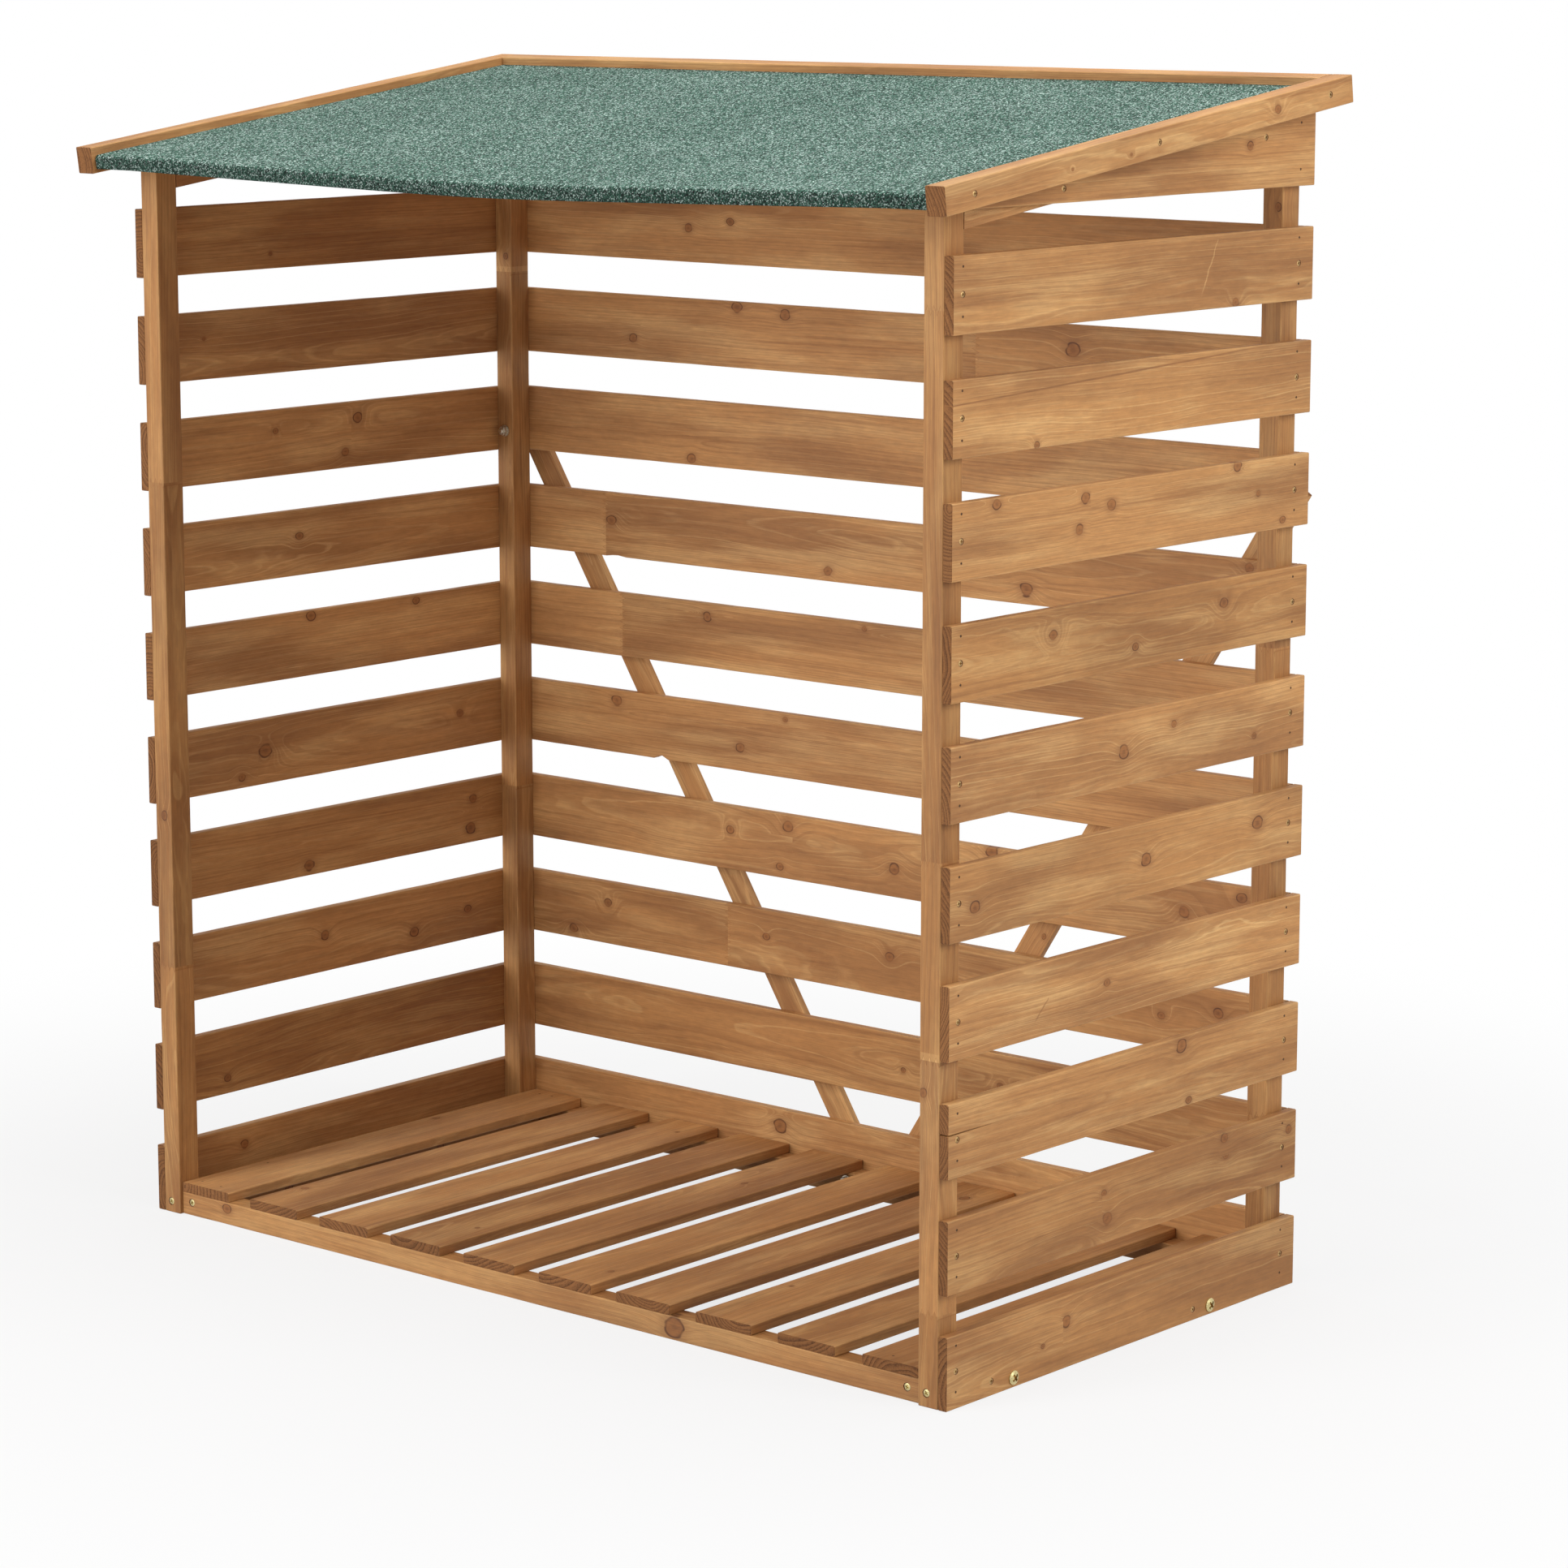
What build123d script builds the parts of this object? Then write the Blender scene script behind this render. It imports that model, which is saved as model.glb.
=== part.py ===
"""Log store: an open-fronted slatted frame with a raised slatted floor and a sloped felt roof.

Millimetres, +Z up, +Y to the back. The origin is on the ground, under the middle of the roof.
"""
import os
from math import cos, hypot, radians, sin, tan

from build123d import *

os.makedirs("parts", exist_ok=True)

# Roof, whose edges are the widest, deepest and highest of the store
ROOF_WIDTH = 1160.0
ROOF_DEPTH = 640.0
OVERALL_HEIGHT = 1230.0
ROOF_SLOPE = 7.45
SIDE_OVERHANG = 30.5
FRONT_OVERHANG = 52.0
REAR_OVERHANG = 20.0
TRIM_THICKNESS = 22.5
TRIM_HEIGHT = 27.5
FELT_DROP = 8.5
FELT_THICKNESS = 2.0
DECK_THICKNESS = 12.5
LIP_SETBACK = 4.0
FELT_BEND_RADIUS = 2.5

# Posts and rails
POST_WIDTH = 24.0
POST_DEPTH = 28.0
HEAD_RAIL_HEIGHT = 30.0
FOOT_RAIL_HEIGHT = 24.5

# Slats and boards, all sawn from one stock
SLAT_HEIGHT = 72.0
SLAT_THICKNESS = 10.5
SLAT_ROWS = 11
BACK_TOP_GAP = 9.5
BACK_SLAT_END_GAP = 0.5

# Floor
FLOOR_BOARD_COUNT = 10
FLOOR_RAIL_DEPTH = 24.0
BEARER_WIDTH = 28.0
FLOOR_SETBACK = 4.0
FLOOR_BACK_GAP = 0.5

# Back braces, each bolted to a rear post behind one row of slats, and at its foot to the rear floor rail
BRACE_WIDTH = 30.0
BRACE_THICKNESS = 9.0
BRACE_HEAD_ROW = 8
BRACE_HEAD_RISE = 22.75
BRACE_FOOT_X = 20.6
BRACE_FOOT_Z = 15.0
BRACE_END_PAST_BOLT = 16.0
BRACE_GROUND_GAP = 1.0
BRACE_MIDDLE_GAP = 1.0

# Edges of planed timber are eased along the grain
EASE = 1.0

# The body under the roof
body_half_width = ROOF_WIDTH / 2 - SIDE_OVERHANG
body_front = -ROOF_DEPTH / 2 + FRONT_OVERHANG
body_back = ROOF_DEPTH / 2 - REAR_OVERHANG
post_outer = body_half_width - SLAT_THICKNESS
post_inner = post_outer - POST_WIDTH
post_centre = post_outer - POST_WIDTH / 2
rear_post_back = body_back - SLAT_THICKNESS
front_post_centre = body_front + POST_DEPTH / 2
rear_post_centre = rear_post_back - POST_DEPTH / 2

# The roof's own plane: it lies on the trims' tops, starts at their front ends and climbs to the back
slope = radians(ROOF_SLOPE)
roof_run = ROOF_DEPTH - TRIM_HEIGHT * sin(slope)
roof_length = roof_run / cos(slope)
front_top = OVERALL_HEIGHT - roof_run * tan(slope)
roof_top = Plane(
    origin=(0, -ROOF_DEPTH / 2, front_top),
    x_dir=(1, 0, 0),
    z_dir=(0, -sin(slope), cos(slope)),
)
deck_drop = FELT_DROP + FELT_THICKNESS + DECK_THICKNESS
deck_underside = roof_top.offset(-deck_drop)
half_inside_trims = ROOF_WIDTH / 2 - TRIM_THICKNESS
deck_start = LIP_SETBACK + FELT_THICKNESS
deck_end = roof_length - TRIM_THICKNESS


def deck_underside_height(y):
    """Height of the roof deck's underside over a line across the store."""
    return front_top + (y + ROOF_DEPTH / 2) * tan(slope) - deck_drop / cos(slope)


# Rows of slats are level all round: the back's top row ends a little under the deck
slat_pitch = (deck_underside_height(rear_post_back) - BACK_TOP_GAP - SLAT_HEIGHT) / (SLAT_ROWS - 1)


def write_part(piece, name):
    """Name a finished piece and write it to its own file."""
    piece.part.label = name
    export_step(piece.part, f"parts/{name}.step")


def planed_board(plane, length, width, thickness):
    """A board lying on a plane, its grain along the plane's x direction and its long edges eased."""
    with BuildPart() as board:
        with BuildSketch(plane):
            Rectangle(length, width)
        extrude(amount=thickness)
        fillet(board.edges().filter_by(Axis((0, 0, 0), plane.x_dir)), radius=EASE)
    return board


def post(x, y):
    """An upright whose top is cut to the slope of the roof deck."""
    with BuildPart() as upright:
        with BuildSketch(Plane.XY):
            with Locations((x, y)):
                Rectangle(POST_WIDTH, POST_DEPTH)
        extrude(amount=OVERALL_HEIGHT)
        fillet(upright.edges().filter_by(Axis.Z), radius=EASE)
        split(bisect_by=deck_underside, keep=Keep.BOTTOM)
    return upright


def head_rail(x):
    """A rail between two posts, hung under the sloped deck, its ends cut upright against the posts."""
    front = body_front + POST_DEPTH
    back = rear_post_back - POST_DEPTH
    with BuildPart() as rail:
        with BuildSketch(Plane.YZ.offset(x - POST_WIDTH / 2)):
            with BuildLine():
                Polyline(
                    (front, deck_underside_height(front)),
                    (back, deck_underside_height(back)),
                    (back, deck_underside_height(back) - HEAD_RAIL_HEIGHT / cos(slope)),
                    (front, deck_underside_height(front) - HEAD_RAIL_HEIGHT / cos(slope)),
                    close=True,
                )
            make_face()
        extrude(amount=POST_WIDTH)
        lower_edges = rail.edges().filter_by(Axis((0, 0, 0), roof_top.y_dir)).sort_by(Axis.Z)[0:2]
        fillet(lower_edges, radius=EASE)
    return rail


def foot_rail(x):
    """A rail on the ground between a front and a rear post."""
    front = body_front + POST_DEPTH
    back = rear_post_back - POST_DEPTH
    ground = Plane(origin=(x, (front + back) / 2, 0), x_dir=(0, 1, 0), z_dir=(0, 0, 1))
    return planed_board(ground, back - front, POST_WIDTH, FOOT_RAIL_HEIGHT)


def side_slat(side, row):
    """One slat of a side wall, cut to the roof's slope where it would reach the deck."""
    outward = (side, 0, 0)
    middle_y = (body_front + body_back) / 2
    face = Plane(
        origin=(side * post_outer, middle_y, row * slat_pitch + SLAT_HEIGHT / 2),
        x_dir=(0, 1, 0),
        z_dir=outward,
    )
    with BuildPart() as slat:
        with BuildSketch(face):
            Rectangle(body_back - body_front, SLAT_HEIGHT)
        extrude(amount=SLAT_THICKNESS)
        fillet(slat.edges().filter_by(Axis.Y), radius=EASE)
        split(bisect_by=deck_underside, keep=Keep.BOTTOM)
    return slat


def brace(side):
    """A diagonal on the back, its foot cut clear of the ground and of the other brace."""
    head = (side * post_centre, (BRACE_HEAD_ROW - 1) * slat_pitch + BRACE_HEAD_RISE)
    foot = (side * BRACE_FOOT_X, BRACE_FOOT_Z)
    across = head[0] - foot[0]
    up = head[1] - foot[1]
    along = hypot(across, up)
    face = Plane(
        origin=(foot[0], body_back, foot[1]),
        x_dir=(across / along, 0, up / along),
        z_dir=(0, 1, 0),
    )
    with BuildPart() as diagonal:
        with BuildSketch(face):
            with Locations(((along + BRACE_END_PAST_BOLT - BRACE_WIDTH) / 2, 0)):
                Rectangle(along + BRACE_END_PAST_BOLT + BRACE_WIDTH, BRACE_WIDTH)
        extrude(amount=BRACE_THICKNESS)
        fillet(diagonal.edges().filter_by(Axis((0, 0, 0), face.x_dir)), radius=EASE)
        split(bisect_by=Plane.XY.offset(BRACE_GROUND_GAP), keep=Keep.TOP)
        middle = Plane(origin=(side * BRACE_MIDDLE_GAP / 2, 0, 0), z_dir=(side, 0, 0))
        split(bisect_by=middle, keep=Keep.TOP)
    return diagonal


# Posts, named as seen from the open front
for side, hand in ((-1, "left"), (1, "right")):
    write_part(post(side * post_centre, front_post_centre), f"post_front_{hand}")
    write_part(post(side * post_centre, rear_post_centre), f"post_rear_{hand}")
    write_part(head_rail(side * post_centre), f"head_rail_{hand}")
    write_part(foot_rail(side * post_centre), f"foot_rail_{hand}")

# Side walls, on the outside of the posts
for side, hand in ((-1, "left"), (1, "right")):
    for row in range(SLAT_ROWS):
        write_part(side_slat(side, row), f"side_slat_{hand}_{row + 1:02d}")

# Back wall, between the side walls and on the outside of the rear posts
back_slat_length = 2 * (post_outer - BACK_SLAT_END_GAP)
with BuildPart() as back_slats:
    with BuildSketch(Plane.XZ.offset(-rear_post_back)):
        for row in range(SLAT_ROWS):
            with Locations((0, row * slat_pitch + SLAT_HEIGHT / 2)):
                Rectangle(back_slat_length, SLAT_HEIGHT)
    extrude(amount=-SLAT_THICKNESS)
    fillet(back_slats.edges().filter_by(Axis.X), radius=EASE)
write_part(back_slats, "back_slats")

for side, hand in ((-1, "left"), (1, "right")):
    write_part(brace(side), f"back_brace_{hand}")

# Floor frame: a front and a rear rail between the posts, and a bearer at each end between the rails
front_rail_y = body_front + FLOOR_SETBACK + FLOOR_RAIL_DEPTH / 2
rear_rail_y = rear_post_back - FLOOR_RAIL_DEPTH / 2
for rail_y, place in ((front_rail_y, "front"), (rear_rail_y, "rear")):
    rail_bed = Plane(origin=(0, rail_y, 0), x_dir=(1, 0, 0), z_dir=(0, 0, 1))
    write_part(
        planed_board(rail_bed, 2 * post_inner, FLOOR_RAIL_DEPTH, FOOT_RAIL_HEIGHT),
        f"floor_rail_{place}",
    )

bearer_front = front_rail_y + FLOOR_RAIL_DEPTH / 2
bearer_back = rear_rail_y - FLOOR_RAIL_DEPTH / 2
for side, hand in ((-1, "left"), (1, "right")):
    bearer_bed = Plane(
        origin=(side * (post_inner - BEARER_WIDTH / 2), (bearer_front + bearer_back) / 2, 0),
        x_dir=(0, 1, 0),
        z_dir=(0, 0, 1),
    )
    write_part(
        planed_board(bearer_bed, bearer_back - bearer_front, BEARER_WIDTH, FOOT_RAIL_HEIGHT),
        f"floor_bearer_{hand}",
    )

# Floor boards, front to back on the frame, spread evenly between the posts
board_front = body_front + FLOOR_SETBACK
board_back = rear_post_back - FLOOR_BACK_GAP
board_pitch = (2 * post_inner - SLAT_HEIGHT) / (FLOOR_BOARD_COUNT - 1)
with BuildPart() as floor_boards:
    with BuildSketch(Plane.XY.offset(FOOT_RAIL_HEIGHT)):
        with Locations((0, (board_front + board_back) / 2)):
            with GridLocations(board_pitch, 0, FLOOR_BOARD_COUNT, 1):
                Rectangle(SLAT_HEIGHT, board_back - board_front)
    extrude(amount=SLAT_THICKNESS)
    fillet(floor_boards.edges().filter_by(Axis.Y), radius=EASE)
write_part(floor_boards, "floor_boards")

# Roof deck between the trims, on the posts and head rails
with BuildPart() as roof_deck:
    with BuildSketch(deck_underside):
        with Locations((0, (deck_start + deck_end) / 2)):
            Rectangle(2 * half_inside_trims, deck_end - deck_start)
    extrude(amount=DECK_THICKNESS)
write_part(roof_deck, "roof_deck")

# Felt laid on the deck and turned down over its front edge
felt_section = Plane(
    origin=roof_top.from_local_coords((-half_inside_trims, 0, 0)),
    x_dir=roof_top.y_dir,
    z_dir=(1, 0, 0),
)
with BuildPart() as roof_felt:
    with BuildSketch(felt_section) as felt_profile:
        with BuildLine():
            Polyline(
                (LIP_SETBACK, -FELT_DROP),
                (deck_end, -FELT_DROP),
                (deck_end, -FELT_DROP - FELT_THICKNESS),
                (deck_start, -FELT_DROP - FELT_THICKNESS),
                (deck_start, -deck_drop),
                (LIP_SETBACK, -deck_drop),
                close=True,
            )
        make_face()
        front_bend = felt_profile.vertices().group_by(Axis.X)[0].sort_by(Axis.Y)[-1]
        fillet(front_bend, radius=FELT_BEND_RADIUS)
    extrude(amount=2 * half_inside_trims)
write_part(roof_felt, "roof_felt")

# Trims round the sides and back of the deck, standing proud of the felt
trim_bed = roof_top.offset(-TRIM_HEIGHT)
for side, hand in ((-1, "left"), (1, "right")):
    side_trim_bed = Plane(
        origin=trim_bed.from_local_coords((side * (ROOF_WIDTH - TRIM_THICKNESS) / 2, roof_length / 2, 0)),
        x_dir=roof_top.y_dir,
        z_dir=roof_top.z_dir,
    )
    write_part(
        planed_board(side_trim_bed, roof_length, TRIM_THICKNESS, TRIM_HEIGHT),
        f"roof_trim_{hand}",
    )

rear_trim_bed = Plane(
    origin=trim_bed.from_local_coords((0, roof_length - TRIM_THICKNESS / 2, 0)),
    x_dir=(1, 0, 0),
    z_dir=roof_top.z_dir,
)
write_part(
    planed_board(rear_trim_bed, 2 * half_inside_trims, TRIM_THICKNESS, TRIM_HEIGHT),
    "roof_trim_rear",
)
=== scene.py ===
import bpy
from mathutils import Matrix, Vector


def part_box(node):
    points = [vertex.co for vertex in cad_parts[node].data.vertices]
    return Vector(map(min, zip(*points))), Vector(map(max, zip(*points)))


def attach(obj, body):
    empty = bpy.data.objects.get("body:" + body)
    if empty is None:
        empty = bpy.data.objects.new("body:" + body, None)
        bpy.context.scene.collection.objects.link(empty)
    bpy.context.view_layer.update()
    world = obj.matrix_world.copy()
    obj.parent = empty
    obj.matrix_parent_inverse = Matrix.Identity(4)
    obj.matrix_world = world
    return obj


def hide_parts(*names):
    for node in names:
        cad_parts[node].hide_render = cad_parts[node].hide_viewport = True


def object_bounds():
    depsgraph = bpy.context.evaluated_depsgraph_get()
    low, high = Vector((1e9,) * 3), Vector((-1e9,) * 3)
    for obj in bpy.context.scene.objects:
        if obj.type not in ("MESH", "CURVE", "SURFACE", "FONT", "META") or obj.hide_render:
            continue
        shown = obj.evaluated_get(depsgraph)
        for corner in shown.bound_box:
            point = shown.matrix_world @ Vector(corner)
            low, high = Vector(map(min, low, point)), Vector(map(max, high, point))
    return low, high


bl_info = {
    "name": "Log Store",
    "version": (1, 0, 0),
    "blender": (4, 5, 0),
    "location": "View3D > Sidebar > Log Store",
    "description": "Dresses the log store's frame in stained pine, mineral felt and plated fasteners",
    "category": "Object",
}

import math
import random
from dataclasses import dataclass

import bmesh
import bpy
from bpy.props import FloatProperty, FloatVectorProperty, PointerProperty
from mathutils import Matrix, Vector, noise

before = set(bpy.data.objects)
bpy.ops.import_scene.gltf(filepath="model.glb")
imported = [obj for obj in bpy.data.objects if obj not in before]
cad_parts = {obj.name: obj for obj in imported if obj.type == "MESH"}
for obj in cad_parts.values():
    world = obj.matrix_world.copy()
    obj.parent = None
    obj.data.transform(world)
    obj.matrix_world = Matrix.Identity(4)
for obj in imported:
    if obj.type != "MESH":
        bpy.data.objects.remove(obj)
CAD_LOW, CAD_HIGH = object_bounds()

X = Vector((1, 0, 0))
Y = Vector((0, 1, 0))
Z = Vector((0, 0, 1))
HANDS = {"left": -1, "right": 1}
BODY = "root"
SLAT_ROWS = sum(name.startswith("side_slat_right_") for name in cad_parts)
FLOOR_BOARDS = 10


# Places that come from the frame


def middle(node):
    low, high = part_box(node)
    return (low + high) / 2


def span(node):
    low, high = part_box(node)
    return high - low


def roof_axes():
    """Matrix from the roof's own space, with x across, y up the slope and z off the felt."""
    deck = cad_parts["roof_deck"].data
    normal = max((p for p in deck.polygons if p.normal.z > 0.5), key=lambda p: p.area).normal
    return Matrix((X, normal.cross(X), normal)).transposed().to_4x4()


ROOF = roof_axes()


def roof_box(node):
    """Lowest and highest corner of a node in the roof's own space."""
    corners = [ROOF.inverted() @ v.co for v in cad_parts[node].data.vertices]
    low = Vector(min(c[i] for c in corners) for i in range(3))
    high = Vector(max(c[i] for c in corners) for i in range(3))
    return low, high


FELT_LOW, FELT_HIGH = roof_box("roof_felt")
DECK_LOW, DECK_HIGH = roof_box("roof_deck")
SLAT_HEIGHT = span("side_slat_right_01").z
SLAT_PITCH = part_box("side_slat_right_02")[0].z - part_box("side_slat_right_01")[0].z
POST_X = middle("post_front_right").x
CARRIED_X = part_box("post_front_right")[0].x
FRONT_POST_Y = middle("post_front_right").y
REAR_POST_Y = middle("post_rear_right").y
DECK_UNDERSIDE = (ROOF @ DECK_LOW, ROOF.to_3x3() @ Z)


def srgb(red, green, blue):
    """A colour as a screen shows it, from 0 to 255, as linear light."""
    shares = (c / 255 for c in (red, green, blue))
    return tuple(s / 12.92 if s <= 0.04045 else ((s + 0.055) / 1.055) ** 2.4 for s in shares)


def length_prop(name, description, default):
    return FloatProperty(name=name, description=description, default=default, min=0.0,
                         precision=5, unit="LENGTH", subtype="DISTANCE")


def colour_prop(name, description, default):
    return FloatVectorProperty(name=name, description=description, default=default,
                               size=3, min=0.0, max=1.0, subtype="COLOR")


def factor_prop(name, description, default):
    return FloatProperty(name=name, description=description, default=default,
                         min=0.0, max=1.0, subtype="FACTOR")


class TimberSettings(bpy.types.PropertyGroup):
    edge_radius: length_prop("Edge radius", "Rounding of the planed long edges", 0.0012)
    end_bevel: length_prop("End bevel", "Bevel round a sawn end", 0.0005)
    bow: length_prop("Bow", "Most that a slat bends between its posts", 0.0006)
    edge_wear: length_prop("Edge wear", "Most that an edge is rubbed back", 0.0004)
    ring_spacing: length_prop("Ring spacing", "Distance between growth rings", 0.0042)
    body: colour_prop("Body", "Stained early wood", srgb(180, 129, 77))
    dark: colour_prop("Dark bands", "Deeper stain in streaks and round knots", srgb(138, 90, 51))
    pale: colour_prop("Pale lines", "Late wood that took little stain", srgb(212, 168, 111))
    knot: colour_prop("Knots", "Heart of a knot", srgb(152, 98, 52))
    knot_rim: colour_prop("Knot rims", "Bark line round a knot", srgb(90, 52, 26))
    end: colour_prop("End grain", "Sawn ends, which soak up stain", srgb(138, 92, 53))
    end_rings: colour_prop("End grain rings", "Rings on the sawn ends", srgb(84, 51, 27))


class FeltSettings(bpy.types.PropertyGroup):
    sag: length_prop("Sag", "Drop of the roof's front edge at the middle", 0.0095)
    bend_radius: length_prop("Bend radius", "Rounding where the felt turns down", 0.005)
    edge_gap: length_prop("Edge gap", "Gap between the felt and the side trims", 0.0012)
    granule: length_prop("Granule size", "Size of the mineral granules", 0.0013)
    roughness: length_prop("Lip roughness", "How far granules stand out on the lip", 0.0003)
    dark: colour_prop("Dark granules", "Granules in their own shade", srgb(4, 32, 23))
    middle: colour_prop("Green granules", "Most of the granules", srgb(76, 128, 108))
    pale: colour_prop("Pale granules", "Granules that catch the light", srgb(232, 255, 246))


class FastenerSettings(bpy.types.PropertyGroup):
    screw_radius: length_prop("Screw head radius", "Countersunk screw in the frame", 0.0036)
    slat_screw_radius: length_prop("Slat screw radius", "Small screw in a slat's end", 0.0027)
    nail_radius: length_prop("Nail radius", "Nail head in a slat's end", 0.0011)
    bolt_radius: length_prop("Bolt head radius", "Pan head of a frame bolt", 0.007)
    bolt_rise: length_prop("Bolt head rise", "Height of a pan head", 0.0028)
    yellow: colour_prop("Yellow zinc", "Plating of the bolts", srgb(222, 206, 150))
    bright: colour_prop("Bright zinc", "Plating of nuts and screws", srgb(214, 206, 190))
    steel: colour_prop("Nail steel", "Bare nail heads", srgb(92, 74, 60))
    bronze: colour_prop("Bronzed steel", "Small screws in the slats", srgb(206, 170, 116))


class StageSettings(bpy.types.PropertyGroup):
    camera_place: FloatVectorProperty(name="Camera place", description="Where the camera stands",
                                      size=3, subtype="TRANSLATION", unit="LENGTH",
                                      default=(3.2138, -3.5923, 1.3732))
    camera_turn: FloatProperty(name="Camera turn", description="Turn to the left of straight back",
                               default=0.7114, subtype="ANGLE", unit="ROTATION")
    camera_tilt: FloatProperty(name="Camera tilt", description="Tilt down from level",
                               default=0.1797, subtype="ANGLE", unit="ROTATION")
    lens: FloatProperty(name="Lens", description="Focal length in millimetres on a 36 mm sensor",
                        default=108.45, min=10.0, subtype="DISTANCE_CAMERA")
    floor: colour_prop("Floor", "Pale studio floor", (0.62, 0.62, 0.62))
    surround: factor_prop("Surround light", "Strength of the even light from all round", 0.3)


# Timber: boards are sawn in their own space, with x along the grain, y across and z through


@dataclass
class Board:
    """One piece of timber, its place, its sawn size and what marks it."""
    name: str
    place: Matrix
    size: Vector
    cuts: tuple = ()
    knots: tuple = ()
    joints: tuple = ()
    holes: tuple = ()
    chips: tuple = ()
    split: tuple = ()
    scar: tuple = ()
    # The board's darker or lighter tone: its own stain, and on some wall rows also painted shade or painted
    # light
    stain: float = 0.0
    bends: bool = False


def timber_space(centre, along, across):
    """Matrix from a board's own space to the frame."""
    turn = Matrix((along, across, along.cross(across))).transposed().to_4x4()
    return Matrix.Translation(centre) @ turn


def boxed_board(name, low, high, along, across, **marks):
    """A board that fills an upright box."""
    through = along.cross(across)
    reach = high - low
    size = Vector(abs(reach.dot(axis)) for axis in (along, across, through))
    return Board(name, timber_space((low + high) / 2, along, across), size, **marks)


def node_board(node, along, across, **marks):
    """A board that fills a CAD node's box."""
    return boxed_board(node, *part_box(node), along, across, **marks)


def roof_board(node, along, across, **marks):
    """A board that fills a CAD node's box in the roof's own space."""
    board = boxed_board(node, *roof_box(node), along, across, **marks)
    board.place = ROOF @ board.place
    return board


def everything(bm):
    return bm.verts[:] + bm.edges[:] + bm.faces[:]


def slice_off(bm, point, normal):
    """Saw away what lies on the normal's side of a plane, and close the cut."""
    cut = bmesh.ops.bisect_plane(bm, geom=everything(bm), plane_co=point, plane_no=normal, clear_outer=True)
    rim = [e for e in cut["geom_cut"] if isinstance(e, bmesh.types.BMEdge)]
    if rim:
        bmesh.ops.edgeloop_fill(bm, edges=rim)


def score(bm, axis, places):
    """Draw lines round a board, square to an axis, for later work to use."""
    for place in places:
        bmesh.ops.bisect_plane(bm, geom=everything(bm), plane_co=axis * place, plane_no=axis)


# How nearly an edge, or a face's normal, has to follow an axis
ALONG_SHARE = 0.9
END_SHARE = 0.5
TINY = 0.00001


def runs_along(edge):
    reach = edge.verts[0].co - edge.verts[1].co
    return abs(reach.x) > ALONG_SHARE * reach.length


def is_end(face):
    return abs(face.normal.x) > END_SHARE


def ease(bm, timber):
    """Round the long edges and take the corner off the ends."""
    long_edges = [e for e in bm.edges if runs_along(e)]
    bmesh.ops.bevel(bm, geom=long_edges, offset=timber.edge_radius, offset_type="OFFSET", segments=3,
                    profile=0.5, affect="EDGES", material=-1, clamp_overlap=True)
    bm.normal_update()
    end_edges = {e for f in bm.faces if is_end(f) for e in f.edges}
    bmesh.ops.bevel(bm, geom=list(end_edges), offset=timber.end_bevel, offset_type="OFFSET", segments=1,
                    profile=0.5, affect="EDGES", material=-1, clamp_overlap=True)
    bmesh.ops.dissolve_degenerate(bm, dist=TINY, edges=bm.edges)


def split_end(bm, board):
    """Open a crack from a board's front end along the grain, with a wall on each side."""
    across, length, opening = board.split
    tip = length - board.size.x / 2
    score(bm, X, [tip])
    score(bm, Y, [across])
    line = [e for e in bm.edges
            if all(abs(v.co.y - across) < TINY and v.co.x < tip + TINY for v in e.verts)]
    torn = bmesh.ops.split_edges(bm, edges=line)["edges"]
    root = bm.edges.new({v for e in torn for v in e.verts if abs(v.co.x - tip) < TINY})
    lips = {1: [], -1: []}
    for edge in torn:
        lips[1 if edge.link_faces[0].calc_center_median().y > across else -1].append(edge)
    for side, edges in lips.items():
        bmesh.ops.edgeloop_fill(bm, edges=[*edges, root])
        for vert in {v for e in edges for v in e.verts}:
            vert.co.y += side * opening / 2 * (tip - vert.co.x) / length
    bmesh.ops.recalc_face_normals(bm, faces=bm.faces)


def holds(face, place):
    """Whether a face's outline, squared off, goes round a place."""
    xs = [v.co.x for v in face.verts]
    ys = [v.co.y for v in face.verts]
    return min(xs) < place.x < max(xs) and min(ys) < place.y < max(ys)


# Rings of a sunk hole, as shares of its radius
PIT_INNER_SHARE = 0.3
PIT_OUTER_SHARE = 0.6


def sink(bm, centre, radius, depth):
    """Sink a small conical hole in a board's face, and return its faces."""
    bm.normal_update()
    side = math.copysign(1, centre.z)
    near = [next(f for f in bm.faces if f.normal.z * side > ALONG_SHARE and holds(f, centre))]
    for axis in (X, Y):
        local = {part for f in near for part in (f, *f.edges, *f.verts)}
        cut = bmesh.ops.bisect_plane(bm, geom=list(local), plane_co=centre, plane_no=axis)
        near = {f for e in cut["geom_cut"] if isinstance(e, bmesh.types.BMEdge) for f in e.link_faces}
    corners = [v for v in cut["geom_cut"] if isinstance(v, bmesh.types.BMVert)]
    corner = min(corners, key=lambda v: (v.co - centre).length_squared)
    made = bmesh.ops.bevel(bm, geom=[corner], offset=radius, offset_type="OFFSET", segments=4,
                           profile=0.5, affect="VERTICES", material=-1)
    inside = set(made["faces"])
    inward = Vector((0, 0, -side * depth))
    for vert in made["verts"]:
        reach = vert.co - centre
        if any(f not in inside for f in vert.link_faces):
            vert.co = centre + reach.normalized() * radius
        elif reach.length > 0:
            outer = reach.length > PIT_INNER_SHARE * radius
            share = PIT_OUTER_SHARE if outer else PIT_INNER_SHARE
            vert.co = centre + reach.normalized() * radius * share + inward * (1 - share)
        else:
            vert.co = centre + inward
    return inside


def chip_edges(bm, board):
    """Knock splinters out of a board's long edges."""
    inward = board.size.y / 4
    for along, length, depth, side in board.chips:
        edge = side * board.size.y / 2
        for vert in bm.verts:
            share = abs(vert.co.x - along) / (length / 2)
            off_edge = abs(vert.co.y - edge)
            if share < 1 and off_edge < inward:
                vert.co.y -= side * depth * (1 - share) * (1 - off_edge / inward)


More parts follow.
